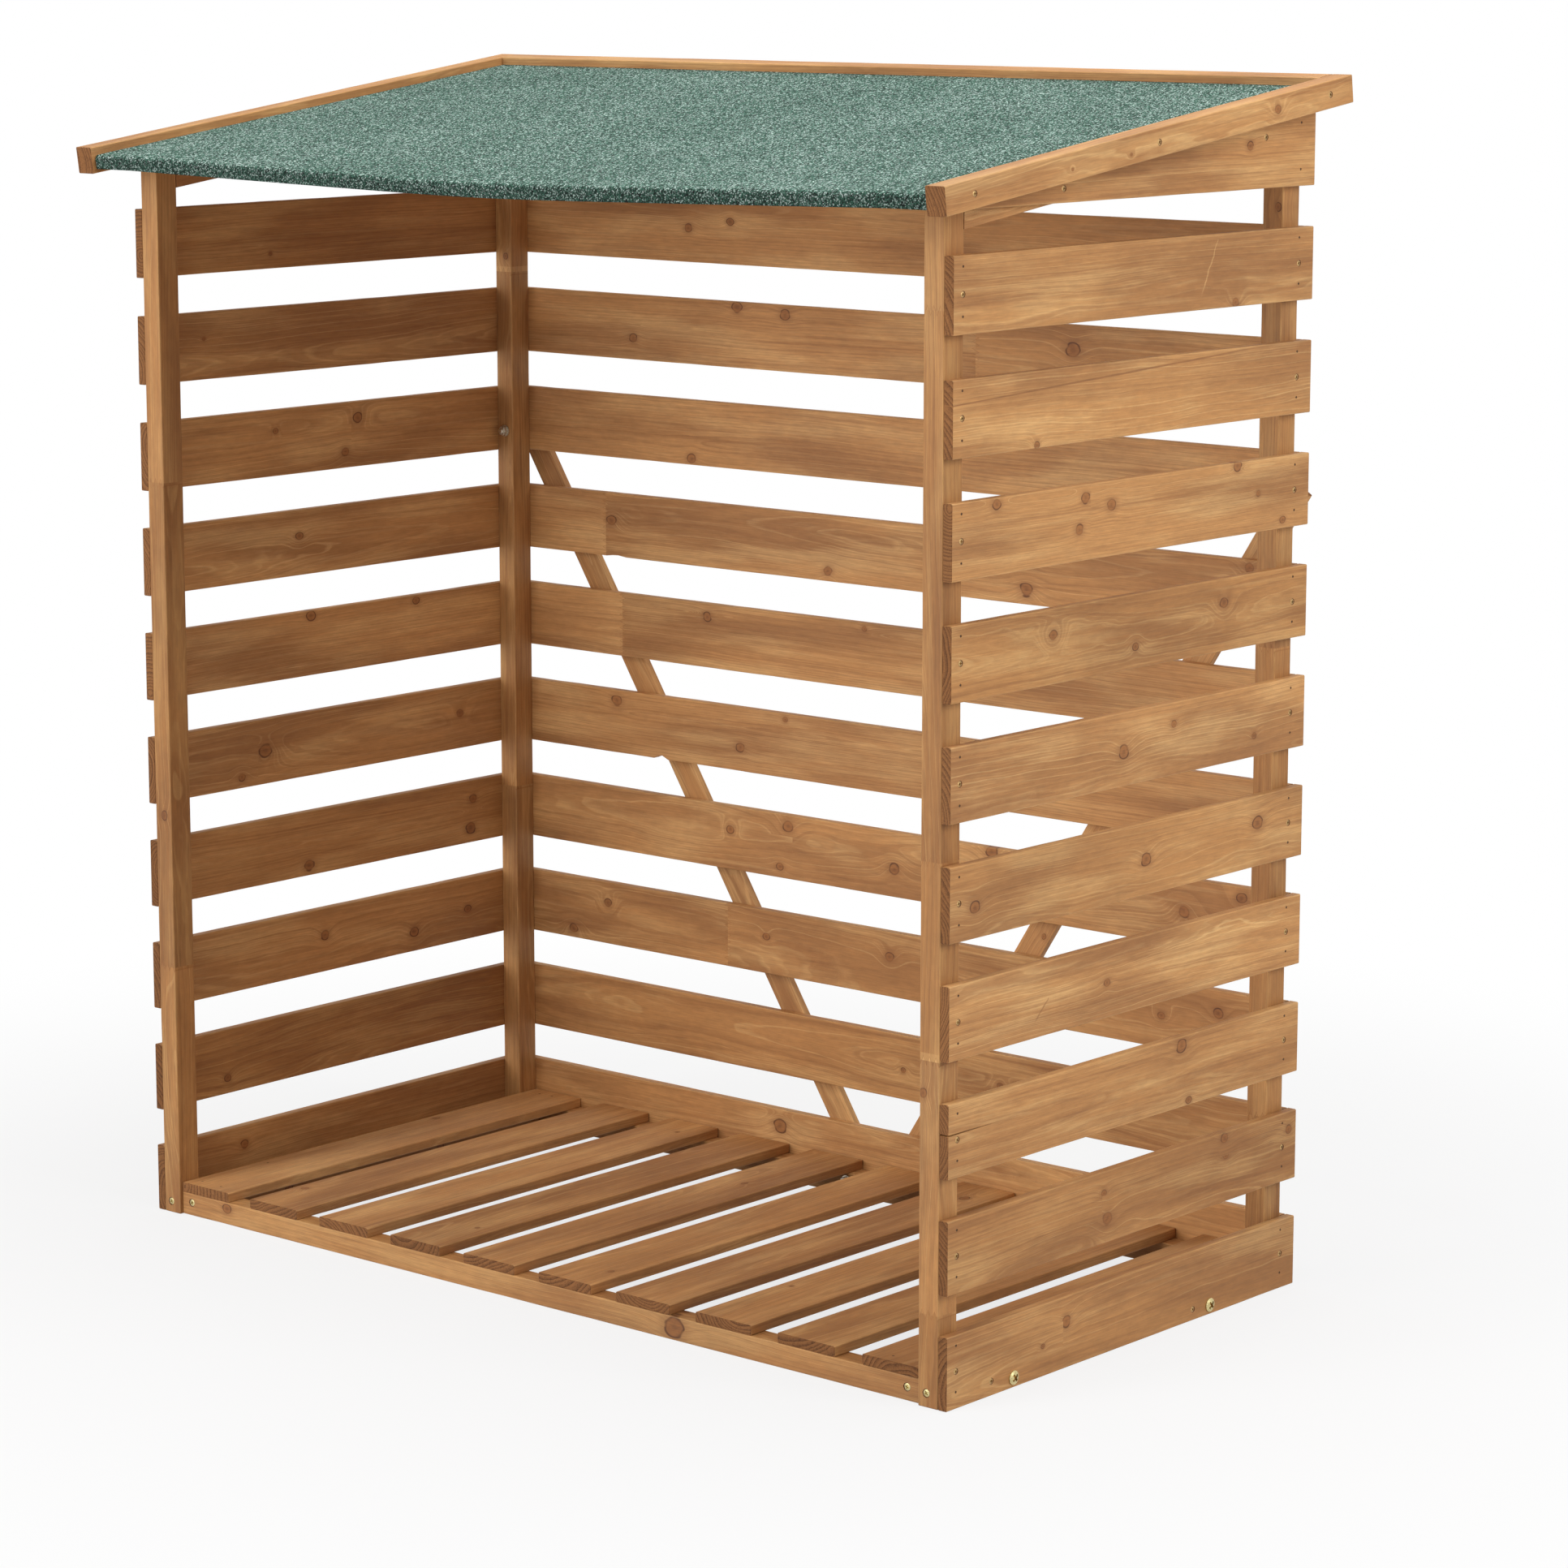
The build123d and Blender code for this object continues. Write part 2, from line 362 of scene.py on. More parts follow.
# Wear of the long edges: how far apart two boards' patterns lie, the pattern's scale and where it ends
WEAR_SPREAD = 100
WEAR_ALONG = 45
WEAR_ACROSS = 300
WORN_SHARE = 0.99


def wear(bm, board, timber, draw):
    """Rub the long edges unevenly, and bend a slat a little between its ends."""
    shift = Vector(draw.uniform(0, WEAR_SPREAD) for _ in range(3))
    half = board.size / 2
    bend = [draw.uniform(-timber.bow, timber.bow) for _ in range(2)] if board.bends else (0.0, 0.0)
    for vert in bm.verts:
        along = vert.co.x / half.x
        at_side = abs(vert.co.y) > half.y - timber.edge_radius
        at_face = abs(vert.co.z) > half.z - timber.edge_radius
        if at_side and at_face and abs(along) < WORN_SHARE:
            rub = noise.noise(Vector((vert.co.x * WEAR_ALONG, 0, 0)) + shift + vert.co.yyy * WEAR_ACROSS)
            vert.co.y -= math.copysign(timber.edge_wear * max(rub, 0.0), vert.co.y)
        arch = max(1 - along * along, 0.0)
        vert.co.y += bend[0] * arch
        vert.co.z += bend[1] * arch


NO_KNOT = (1.0, 1.0, 0.0001)
NO_SCAR = (1.0, -1.0, 0.0)
NO_JOINT = (1.0, 0.0, 0.0)


def scar_at(place, board):
    """Distance across and share along a crack or streak that crosses a board's face."""
    start_u, start_v, stop_u, stop_v, tone = board.scar
    start = Vector(((start_u - 0.5) * board.size.x, (start_v - 0.5) * board.size.y))
    line = Vector(((stop_u - 0.5) * board.size.x, (stop_v - 0.5) * board.size.y)) - start
    reach = place.xy - start
    return line.normalized().cross(reach), reach.dot(line) / line.length_squared, tone


# A log: how far along a board may start, where the pith lies beside and off it, and how its rings stretch
LOG_REACH = 50
PITH_ASIDE = 0.045
PITH_OFF_FACE = (0.012, 0.06)
RING_STRETCHES = (0.75, 1.35)


def drawn_log(draw, stain):
    """Pith, stretch of the rings, and tone of the log that a length of board is sawn from."""
    along = draw.uniform(0, LOG_REACH)
    aside = draw.uniform(-PITH_ASIDE, PITH_ASIDE)
    off_face = draw.choice((-1, 1)) * draw.uniform(*PITH_OFF_FACE)
    return Vector((along, aside, off_face)), draw.uniform(*RING_STRETCHES), draw.uniform(-1, 1) + stain


# An eased edge's least lean, and the stain rubbed off there and past a joint. Less than none darkens a sunk
# hole with painted shade
ROUNDED_SHARE = 0.15
EDGE_RUB = 0.25
PATCH_RUB = 0.6
PIT_PAINTED_SHADE = -1.0


def mark(bm, board, draw, pits):
    """Write each corner's place in the log, its nearest knot and its tone, for the finish to read."""
    half = board.size / 2
    grain = bm.loops.layers.float_vector.new("grain")
    knot = bm.loops.layers.float_vector.new("knot")
    tone = bm.loops.layers.float_vector.new("board")
    scar = bm.loops.layers.float_vector.new("scar")
    joint = bm.loops.layers.float_vector.new("joint")
    borders = [share * board.size.x - half.x for share, _ in board.joints]
    patches = [(b, b + patch) for b, (_, patch) in zip(borders, board.joints)]
    logs = [drawn_log(draw, board.stain) for _ in range(len(borders) + 1)]
    knots = [((a - 0.5) * board.size.x, (b - 0.5) * board.size.y, r) for a, b, r in board.knots]
    bm.normal_update()
    for face in bm.faces:
        centre = face.calc_center_median()
        number = sum(centre.x > b for b in borders)
        pith, stretch, shade = logs[number]
        border = min(range(len(borders)), key=lambda i: abs(borders[i] - centre.x), default=None)
        near = min(knots, key=lambda k: (k[0] - centre.x) ** 2 + (k[1] - centre.y) ** 2, default=None)
        end = 1.0 if is_end(face) else 0.0
        rounded = min(abs(face.normal.y), abs(face.normal.z)) > ROUNDED_SHARE
        rub = EDGE_RUB if rounded else 0.0
        if any(low < centre.x < high for low, high in patches):
            rub = PATCH_RUB
        # Painted shade: the faces of a sunk hole are darkened
        if face in pits:
            rub = PIT_PAINTED_SHADE
        face.smooth = rounded
        for loop in face.loops:
            place = loop.vert.co
            loop[grain] = (place.x + pith.x, (place.y - pith.y) * stretch, (place.z - pith.z) * stretch)
            loop[knot] = NO_KNOT if near is None else (place.x - near[0], place.y - near[1], near[2])
            loop[scar] = scar_at(place, board) if board.scar else NO_SCAR
            loop[joint] = NO_JOINT
            if border is not None:
                other = logs[border + 1 if number == border else border][2]
                loop[joint] = (place.x - borders[border], place.y, other - shade)
            loop[tone] = (shade, end, rub)


# Lines drawn round a board: their spacing, their distance from holes, the width past which some also run
# along it, and where a chip needs them along its length
LINE_SPACING = 0.03
HOLE_CLEARANCE = 0.012
WIDE_BOARD = 0.05
CHIP_LINE_SHARES = (-0.5, -0.2, 0.1, 0.25, 0.5)


def saw(board, timber):
    """A finished board as a bmesh, in its place."""
    draw = random.Random(board.name)
    bm = bmesh.new()
    bmesh.ops.create_cube(bm, size=1.0)
    bmesh.ops.scale(bm, vec=board.size, verts=bm.verts)
    inside_out = board.place.inverted()
    for point, normal in board.cuts:
        slice_off(bm, inside_out @ point, inside_out.to_3x3() @ normal)
    ease(bm, timber)
    if board.split:
        split_end(bm, board)
    half = board.size / 2
    count = round(board.size.x / LINE_SPACING)
    lines = [board.size.x * i / count - half.x for i in range(1, count)]
    lines = [x for x in lines if all(abs(x - u) > HOLE_CLEARANCE for u, *_ in board.holes)]
    lines += [u + length * share for u, length, *_ in board.chips for share in CHIP_LINE_SHARES]
    borders = [share * board.size.x - half.x + step for share, patch in board.joints for step in {0.0, patch}]
    lines = [x for x in lines if all(abs(x - b) > HOLE_CLEARANCE / 2 for b in borders)]
    score(bm, X, sorted(lines + borders))
    if board.size.y > WIDE_BOARD:
        lanes = (-half.y / 3, half.y / 3)
        score(bm, Y, [y for y in lanes if all(abs(y - v) > HOLE_CLEARANCE / 2 for _, v, *_ in board.holes)])
    pits = set()
    for u, v, side, radius, depth in board.holes:
        pits |= sink(bm, Vector((u, v, side * half.z)), radius, depth)
    chip_edges(bm, board)
    wear(bm, board, timber, draw)
    mark(bm, board, draw, pits)
    bmesh.ops.transform(bm, matrix=board.place, verts=bm.verts)
    return bm


# Ranges of a scattered knot's share along, share across and radius
KNOT_RANGES = ((0.05, 0.95), (0.15, 0.85), (0.0022, 0.0048))


def scattered_knots(name, count):
    """Knots at places drawn from the board's name, for boards with none listed."""
    draw = random.Random(name + " knots")
    return tuple(tuple(draw.uniform(*reach) for reach in KNOT_RANGES) for _ in range(count))


def join(name, parts):
    """One object from several bmeshes, at the origin."""
    mesh = bpy.data.meshes.new(name)
    whole = bmesh.new()
    for part in parts:
        part.to_mesh(mesh)
        whole.from_mesh(mesh)
        part.free()
    whole.to_mesh(mesh)
    whole.free()
    piece = bpy.data.objects.new(name, mesh)
    bpy.context.scene.collection.objects.link(piece)
    return piece


def dress(piece, material, slot, *nodes):
    """Give a piece its finish, set it on the body and let it stand for its CAD nodes."""
    piece.data.materials.clear()
    piece.data.materials.append(material)
    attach(piece, BODY)
    if nodes:
        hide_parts(*nodes)
    return piece


def timber_piece(name, boards, slot, settings, *nodes):
    piece = join(name, [saw(board, settings) for board in boards])
    return dress(piece, stained_pine(slot, settings), slot, *nodes)


# Finishes


class Sheet:
    """A material's node tree, with short ways to add what the finishes use."""

    def __init__(self, name):
        self.material = bpy.data.materials.new(name)
        self.material.use_nodes = True
        self.tree = self.material.node_tree
        self.tree.nodes.clear()
        self.shader = self.add("ShaderNodeBsdfPrincipled")
        output = self.add("ShaderNodeOutputMaterial")
        self.tree.links.new(self.shader.outputs["BSDF"], output.inputs["Surface"])

    def add(self, kind, **settings):
        node = self.tree.nodes.new(kind)
        for key, value in settings.items():
            setattr(node, key, value)
        return node

    def put(self, socket, value):
        if isinstance(value, bpy.types.NodeSocket):
            self.tree.links.new(value, socket)
        elif len_of(socket.default_value) == 4 and len_of(value) == 3:
            socket.default_value = (*value, 1.0)
        else:
            socket.default_value = value

    def shade(self, **values):
        for key, value in values.items():
            self.put(self.shader.inputs[key.replace("_", " ").title()], value)

    def attribute(self, name):
        node = self.add("ShaderNodeAttribute", attribute_type="GEOMETRY", attribute_name=name)
        return node.outputs["Vector"]

    def split(self, vector):
        node = self.add("ShaderNodeSeparateXYZ")
        self.put(node.inputs[0], vector)
        return node.outputs[0], node.outputs[1], node.outputs[2]

    def combine(self, *parts):
        node = self.add("ShaderNodeCombineXYZ")
        for socket, part in zip(node.inputs, parts):
            self.put(socket, part)
        return node.outputs[0]

    def math(self, operation, *values):
        node = self.add("ShaderNodeMath", operation=operation)
        for socket, value in zip(node.inputs, values):
            self.put(socket, value)
        return node.outputs[0]

    def scale(self, vector, factors):
        node = self.add("ShaderNodeVectorMath", operation="MULTIPLY")
        self.put(node.inputs[0], vector)
        self.put(node.inputs[1], factors)
        return node.outputs[0]

    def noise(self, vector, detail=2.0, roughness=0.5):
        node = self.add("ShaderNodeTexNoise")
        self.put(node.inputs["Vector"], vector)
        self.put(node.inputs["Scale"], 1.0)
        self.put(node.inputs["Detail"], detail)
        self.put(node.inputs["Roughness"], roughness)
        return node

    def step(self, value, start, stop, low=0.0, high=1.0):
        """From low to high, smoothly, as a value goes from start to stop."""
        node = self.add("ShaderNodeMapRange", interpolation_type="SMOOTHSTEP")
        for socket, number in zip(node.inputs, (value, start, stop, low, high)):
            self.put(socket, number)
        return node.outputs[0]

    def mix(self, factor, first, second, blend="MIX"):
        node = self.add("ShaderNodeMix", data_type="RGBA", blend_type=blend)
        for index, value in ((0, factor), (6, first), (7, second)):
            self.put(node.inputs[index], value)
        return node.outputs[2]

    def bump(self, height, distance, strength=1.0):
        node = self.add("ShaderNodeBump")
        self.put(node.inputs["Height"], height)
        self.put(node.inputs["Distance"], distance)
        self.put(node.inputs["Strength"], strength)
        self.put(self.shader.inputs["Normal"], node.outputs[0])

    def object_place(self):
        return self.add("ShaderNodeTexCoord").outputs["Object"]


def len_of(value):
    return len(value) if hasattr(value, "__len__") else 0


def kept(name, make):
    """A material that is made once and then shared."""
    return bpy.data.materials.get(name) or make(name)


def stained_pine(slot, timber):
    return kept(f"{slot}_finish", lambda name: make_pine(name, timber))


# Finger joints, and the glue line from its edge to its middle
FINGER_PITCH = 0.0075
FINGER_LENGTH = 0.009
GLUE_LINE = (0.0012, 0.0002)
GLUE_SHARE = 0.5


def finger_joints(s, tone):
    """A board's tone with the next log's fingers let in, and the glue line between the two."""
    along, across, change = s.split(s.attribute("joint"))
    wave = s.math("PINGPONG", across, FINGER_PITCH / 2)
    tooth = s.math("MULTIPLY_ADD", wave, 2 * FINGER_LENGTH / FINGER_PITCH, along)
    tooth = s.math("SUBTRACT", tooth, FINGER_LENGTH / 2)
    crossed = s.math("LESS_THAN", s.math("MULTIPLY", tooth, along), 0.0)
    glue = s.step(s.math("ABSOLUTE", tooth), *GLUE_LINE, 0.0, GLUE_SHARE)
    return s.math("MULTIPLY_ADD", crossed, change, tone), glue


# Knots: the weight of the way along the grain, how uneven a rim is, and how the swell round it fades
KNOT_ALONG = 0.7
KNOT_WOBBLE = 0.9
SWELL_FADE = -0.13


def knot_reach(s, ripple):
    """Distance from the nearest knot in its own radii, and how far it pushes the rings aside."""
    u, v, radius = s.split(s.attribute("knot"))
    along = s.math("MULTIPLY", s.math("MULTIPLY", u, u), KNOT_ALONG)
    reach = s.math("SQRT", s.math("ADD", along, s.math("MULTIPLY", v, v)))
    wobble = s.math("MULTIPLY_ADD", ripple, KNOT_WOBBLE, -KNOT_WOBBLE / 2)
    away = s.math("ADD", s.math("DIVIDE", reach, radius), wobble)
    swell = s.math("EXPONENT", s.math("MULTIPLY", s.math("MULTIPLY", away, away), SWELL_FADE))
    return away, s.math("MULTIPLY", swell, radius)


# Scales of the noises in pine, along the grain, across it and through the board
WANDER_SCALE = (1.7, 9.0, 9.0)
RIPPLE_SCALE = (26.0, 110.0, 110.0)
PATCH_SCALE = (6.0, 32.0, 32.0)
STREAK_SCALE = (4.5, 150.0, 150.0)
FIBRE_SCALE = (34.0, 760.0, 760.0)
CLOUD_SCALE = (3.4, 17.0, 17.0)
MOTTLE_SCALE = (70.0, 190.0, 190.0)
UNEVEN_SCALE = 95.0
# How far the noises move the pith and the rings
PITH_DRIFT = 0.030
RADIUS_DRIFT = 0.020
RIPPLE_DRIFT = 0.0014
UNEVEN_DRIFT = 0.009


def pith_distance(s, grain, tone, ripple, swell):
    """Distance from the log's pith, wandering along the board and uneven from ring to ring."""
    _, v, w = s.split(grain)
    drift_v, drift_w, drift_r = s.split(s.noise(s.scale(grain, WANDER_SCALE)).outputs["Color"])
    ring_v = s.math("MULTIPLY_ADD", drift_v, PITH_DRIFT, v)
    ring_w = s.math("MULTIPLY_ADD", drift_w, PITH_DRIFT, w)
    squares = s.math("ADD", s.math("MULTIPLY", ring_v, ring_v), s.math("MULTIPLY", ring_w, ring_w))
    radius = s.math("MULTIPLY_ADD", drift_r, RADIUS_DRIFT, s.math("SQRT", squares))
    radius = s.math("MULTIPLY_ADD", ripple, RIPPLE_DRIFT, s.math("ADD", swell, radius))
    uneven = s.noise(s.combine(s.math("MULTIPLY", radius, UNEVEN_SCALE), tone, 0.0), detail=1.0)
    return s.math("MULTIPLY_ADD", uneven.outputs["Fac"], UNEVEN_DRIFT, radius)


# Width of the fine rings, as a share of the growth rings'
FINE_RING_SHARE = 0.36


def growth_rings(s, timber, radius, tone):
    """Dark band, pale line and luck of each ring, and the fine pale rings between."""
    count = s.math("DIVIDE", radius, timber.ring_spacing)
    ring = s.math("FRACT", count)
    dice = s.add("ShaderNodeTexWhiteNoise", noise_dimensions="2D")
    s.put(dice.inputs["Vector"], s.combine(s.math("FLOOR", count), tone, 0.0))
    band = s.math("MULTIPLY", s.step(ring, 0.25, 0.85), s.step(ring, 1.0, 0.9))
    line = s.math("MULTIPLY", s.step(ring, 0.84, 0.93), s.step(ring, 1.0, 0.96))
    fine = s.math("FRACT", s.math("DIVIDE", radius, timber.ring_spacing * FINE_RING_SHARE))
    fine = s.math("MULTIPLY", s.step(fine, 0.55, 0.85), s.step(fine, 1.0, 0.9))
    return band, line, dice.outputs["Value"], fine


# Cracks and streaks: what a paler tone adds to the jags, and the jags of a middling one; their width at the
# start and farther on; and their strength
SCAR_JAG = (0.0035, 0.0042)
SCAR_WIDTHS = (0.0008, 0.0014)
SCAR_SHARE = 0.85


def scar_line(s, ripple):
    """Strength of a crack or streak, and how pale it is."""
    across, along, tone = s.split(s.attribute("scar"))
    jagged = s.math("MULTIPLY_ADD", tone, *SCAR_JAG)
    bent = s.math("MULTIPLY_ADD", s.math("SUBTRACT", ripple, 0.5), jagged, across)
    width = s.step(along, 0.0, 0.4, *SCAR_WIDTHS)
    crack = s.step(s.math("DIVIDE", s.math("ABSOLUTE", bent), width), 1.0, 0.3)
    tips = s.math("MULTIPLY", s.step(along, 0.0, 0.06), s.step(along, 1.0, 0.75))
    crack = s.math("MULTIPLY", s.math("MULTIPLY", crack, tips), s.math("ABSOLUTE", tone))
    return s.math("MULTIPLY", crack, SCAR_SHARE), s.step(tone, -0.5, 0.5)


# How much a log's tone lightens red, green and blue, how strongly rubbed edges and the painted shade in holes
# show, and the height of the fibres' relief
TONE_SHARES = (0.09, 0.11, 0.14)
RUB_SHARE = 0.8
PIT_SHADE_SHARE = 0.85
FIBRE_RELIEF = 0.0005


def make_pine(name, timber):
    """Stained pine: rings round a pith, pale late wood, fibres, blotchy stain, knots and dark ends."""
    s = Sheet(name)
    grain = s.attribute("grain")
    tone, end, rub = s.split(s.attribute("board"))
    tone, glue = finger_joints(s, tone)
    ripple = s.noise(s.scale(grain, RIPPLE_SCALE), detail=1.0).outputs["Fac"]
    patch = s.noise(s.scale(grain, PATCH_SCALE), detail=3.0).outputs["Fac"]
    streak = s.noise(s.scale(grain, STREAK_SCALE)).outputs["Fac"]
    fibre = s.noise(s.scale(grain, FIBRE_SCALE), roughness=0.65).outputs["Fac"]
    cloud = s.noise(s.scale(grain, CLOUD_SCALE)).outputs["Fac"]
    mottle = s.noise(s.scale(grain, MOTTLE_SCALE), detail=3.0, roughness=0.6).outputs["Fac"]
    away, swell = knot_reach(s, ripple)
    radius = pith_distance(s, grain, tone, ripple, swell)
    band, line, luck, fine = growth_rings(s, timber, radius, tone)

    heart = s.mix(s.step(away, 0.6, 0.05, 0.0, 0.4), timber.knot, timber.knot_rim)
    heart = s.mix(s.step(mottle, 0.45, 0.65, 0.0, 0.4), heart, timber.knot_rim)
    rim = s.math("MULTIPLY", s.step(away, 0.78, 0.98), s.step(away, 1.2, 1.02))
    rings = s.math("MULTIPLY_ADD", s.math("ADD", band, line), 0.5, s.step(fibre, 0.45, 0.65, 0.0, 0.5))
    sawn_end = s.mix(rings, timber.end, timber.end_rings)
    rubbed = s.math("MAXIMUM", rub, 0.0)
    # Painted shade in sunk holes, from the negative part of the rub
    sunk = s.math("MAXIMUM", s.math("MULTIPLY", rub, -1.0), 0.0)
    scar, scar_paleness = scar_line(s, ripple)

    wood = timber.body
    for share, colour in (
        (s.step(cloud, 0.62, 0.3, 0.0, 0.55), timber.dark),
        (s.step(patch, 0.45, 0.72, 0.0, 0.45), timber.pale),
        (s.math("MULTIPLY", band, s.step(luck, 0.0, 1.0, 0.04, 0.42)), timber.dark),
        (s.math("MULTIPLY", line, s.step(luck, 1.0, 0.0, 0.0, 0.48)), timber.pale),
        (s.math("MULTIPLY", fine, s.step(patch, 0.4, 0.62, 0.0, 0.34)), timber.pale),
        (s.step(streak, 0.56, 0.78, 0.0, 0.45), timber.dark),
        (s.step(streak, 0.42, 0.22, 0.0, 0.3), timber.pale),
        (s.step(away, 2.4, 0.9, 0.0, 0.4), timber.dark),
        (s.step(away, 1.08, 0.94, 0.0, 0.9), heart),
        (s.math("MULTIPLY", rim, s.step(ripple, 0.35, 0.62, 0.95, 0.25)), timber.knot_rim),
        (end, sawn_end),
        (s.math("MULTIPLY", rubbed, RUB_SHARE), timber.pale),
        # Painted shade in sunk holes, towards the knot rims' colour
        (s.math("MULTIPLY", sunk, PIT_SHADE_SHARE), timber.knot_rim),
        (scar, s.mix(scar_paleness, timber.end, timber.pale)),
        (glue, timber.knot),
    ):
        wood = s.mix(share, wood, colour)

    light = s.math("MULTIPLY_ADD", fibre, 0.56, 0.72)
    light = s.math("MULTIPLY", light, s.step(cloud, 0.25, 0.75, 0.93, 1.07))
    light = s.math("MULTIPLY", light, s.step(mottle, 0.25, 0.75, 0.94, 1.06))
    depths = [s.math("MULTIPLY", light, s.math("MULTIPLY_ADD", tone, share, 1.0)) for share in TONE_SHARES]
    wood = s.mix(1.0, wood, s.combine(*depths), "MULTIPLY")

    rough = s.math("MULTIPLY_ADD", fibre, 0.25, 0.5)
    s.shade(base_color=wood, roughness=s.math("MAXIMUM", rough, s.math("MULTIPLY", end, 0.95)))
    s.put(s.shader.inputs["Specular IOR Level"], 0.35)
    s.bump(s.math("MULTIPLY", fibre, 0.6), FIBRE_RELIEF, 0.7)
    return s.material


# Felt: how much longer granules are up the slope, the scale and strength of its clouds, and its relief
GRANULE_STRETCH = 1.5
FELT_CLOUD_SCALE = (9.0, 9.0, 9.0)
FELT_CLOUD_SHARE = 0.24
FELT_RELIEF = 0.0012


def make_felt(name, felt):
    """Roofing felt faced with mineral granules in mixed greens, with painted shade between the granules,
    darker where it is bent.
    """
    s = Sheet(name)
    x, y, z = s.split(s.object_place())
    rise, level = ROOF[2][1], ROOF[1][1]
    up_slope = s.math("MULTIPLY_ADD", y, level, s.math("MULTIPLY", z, rise))
    off_felt = s.math("MULTIPLY_ADD", z, level, s.math("MULTIPLY", y, -rise))
    place = s.combine(x, s.math("DIVIDE", up_slope, GRANULE_STRETCH), off_felt)
    bend = s.split(s.attribute("bend"))[0]
    grains = s.add("ShaderNodeTexVoronoi", feature="F1", voronoi_dimensions="3D")
    s.put(grains.inputs["Vector"], place)
    s.put(grains.inputs["Scale"], 1.0 / felt.granule)
    pick = s.split(grains.outputs["Color"])[0]
    cloud = s.noise(s.scale(place, FELT_CLOUD_SCALE), detail=4.0).outputs["Fac"]
    paleness = s.math("ADD", pick, s.math("MULTIPLY_ADD", cloud, FELT_CLOUD_SHARE, -FELT_CLOUD_SHARE / 2))
    colour = s.mix(s.step(paleness, 0.0, 0.5), felt.dark, felt.middle)
    colour = s.mix(s.step(paleness, 0.55, 1.05), colour, felt.pale)
    # Painted shade between the granules: colour darkened towards each granule's edge
    painted_granule_shade = s.step(grains.outputs["Distance"], 0.25, 0.75, 1.0, 0.2)
    light = s.math("MULTIPLY", painted_granule_shade, s.step(bend, 0.0, 1.0, 1.0, 0.5))
    s.shade(base_color=s.mix(1.0, colour, s.combine(light, light, light), "MULTIPLY"), roughness=0.9)
    s.put(s.shader.inputs["Specular IOR Level"], 0.25)
    s.bump(s.math("SUBTRACT", 1.0, grains.outputs["Distance"]), FELT_RELIEF)
    return s.material


PLATING_SCALE = (900.0, 900.0, 900.0)


def make_plating(name, colour, worn):
    """Plated steel with a slightly cloudy surface."""
    s = Sheet(name)
    cloud = s.noise(s.scale(s.object_place(), PLATING_SCALE), detail=3.0).outputs["Fac"]
    dull = tuple(c * worn for c in colour)
    s.shade(base_color=s.mix(s.step(cloud, 0.35, 0.7), colour, dull), metallic=1.0,
            roughness=s.step(cloud, 0.2, 0.8, 0.28, 0.5))
    return s.material


# Knots and marks of the boards that the photograph shows: share along, share across, radius

RIGHT_KNOTS = {
    10: ((0.77, 0.07, 0.0045),),
    9: ((0.22, 0.05, 0.003),),
    8: ((0.116, 0.93, 0.005), (0.354, 0.83, 0.005), (0.425, 0.69, 0.0055), (0.338, 0.42, 0.005),
        (0.785, 0.96, 0.005), (0.848, 0.54, 0.003), (0.922, 0.12, 0.0035)),
    7: ((0.269, 0.65, 0.005), (0.497, 0.30, 0.0035), (0.751, 0.67, 0.005)),
    6: ((0.609, 0.70, 0.0035), (0.467, 0.48, 0.006), (0.847, 0.30, 0.003)),
    5: ((0.534, 0.49, 0.006), (0.863, 0.61, 0.0065), (0.066, 0.41, 0.0055)),
    3: ((0.647, 0.87, 0.006), (0.67, 0.07, 0.0035)),
    2: ((0.779, 0.92, 0.005), (0.783, 0.66, 0.004), (0.426, 0.70, 0.0035), (0.437, 0.34, 0.0065),
        (0.977, 0.74, 0.0045)),
    1: ((0.325, 0.65, 0.0055), (0.26, 0.42, 0.002)),
}
LEFT_KNOTS = {
    8: ((0.544, 0.75, 0.005), (0.326, 0.68, 0.003), (0.51, 0.25, 0.005)),
    7: ((0.383, 0.60, 0.004),),
    6: ((0.409, 0.92, 0.005), (0.695, 0.91, 0.004)),
    5: ((0.284, 0.52, 0.007), (0.815, 0.56, 0.005), (0.221, 0.17, 0.004)),
    4: ((0.392, 0.17, 0.006), (0.849, 0.70, 0.005), (0.842, 0.25, 0.006)),
    3: ((0.432, 0.58, 0.005), (0.677, 0.32, 0.005), (0.83, 0.49, 0.004)),
}
BACK_KNOTS = {
    9: ((0.314, 0.91, 0.0055), (0.378, 0.85, 0.0055), (0.171, 0.33, 0.0045), (0.742, 0.63, 0.007)),
    8: ((0.252, 0.10, 0.005),),
    7: ((0.139, 0.56, 0.0055), (0.436, 0.16, 0.005), (0.689, 0.22, 0.0065), (0.952, 0.89, 0.005)),
    6: ((0.273, 0.79, 0.0045), (0.484, 0.91, 0.003)),
    5: ((0.145, 0.83, 0.006), (0.318, 0.38, 0.005), (0.379, 0.91, 0.0035)),
    4: ((0.304, 0.63, 0.004), (0.383, 0.82, 0.006), (0.372, 0.17, 0.004), (0.524, 0.42, 0.0055),
        (0.648, 0.94, 0.006), (0.883, 0.51, 0.006), (0.95, 0.84, 0.005)),
    3: ((0.08, 0.15, 0.005), (0.13, 0.66, 0.0045), (0.353, 0.59, 0.004), (0.518, 0.61, 0.005),
        (0.858, 0.48, 0.004), (0.925, 0.66, 0.005)),
    1: ((0.372, 0.74, 0.007),),
}
FLOOR_KNOTS = {1: ((0.681, 0.15, 0.004),), 4: ((0.14, 0.71, 0.002),), 7: ((0.906, 0.61, 0.005),)}
TRIM_KNOTS = {"right": ((0.8, 0.5, 0.0042), (0.29, 0.4, 0.0018), (0.43, 0.35, 0.0015))}
FRONT_RAIL_KNOTS = ((0.696, 0.55, 0.0095), (0.068, 0.7, 0.005))
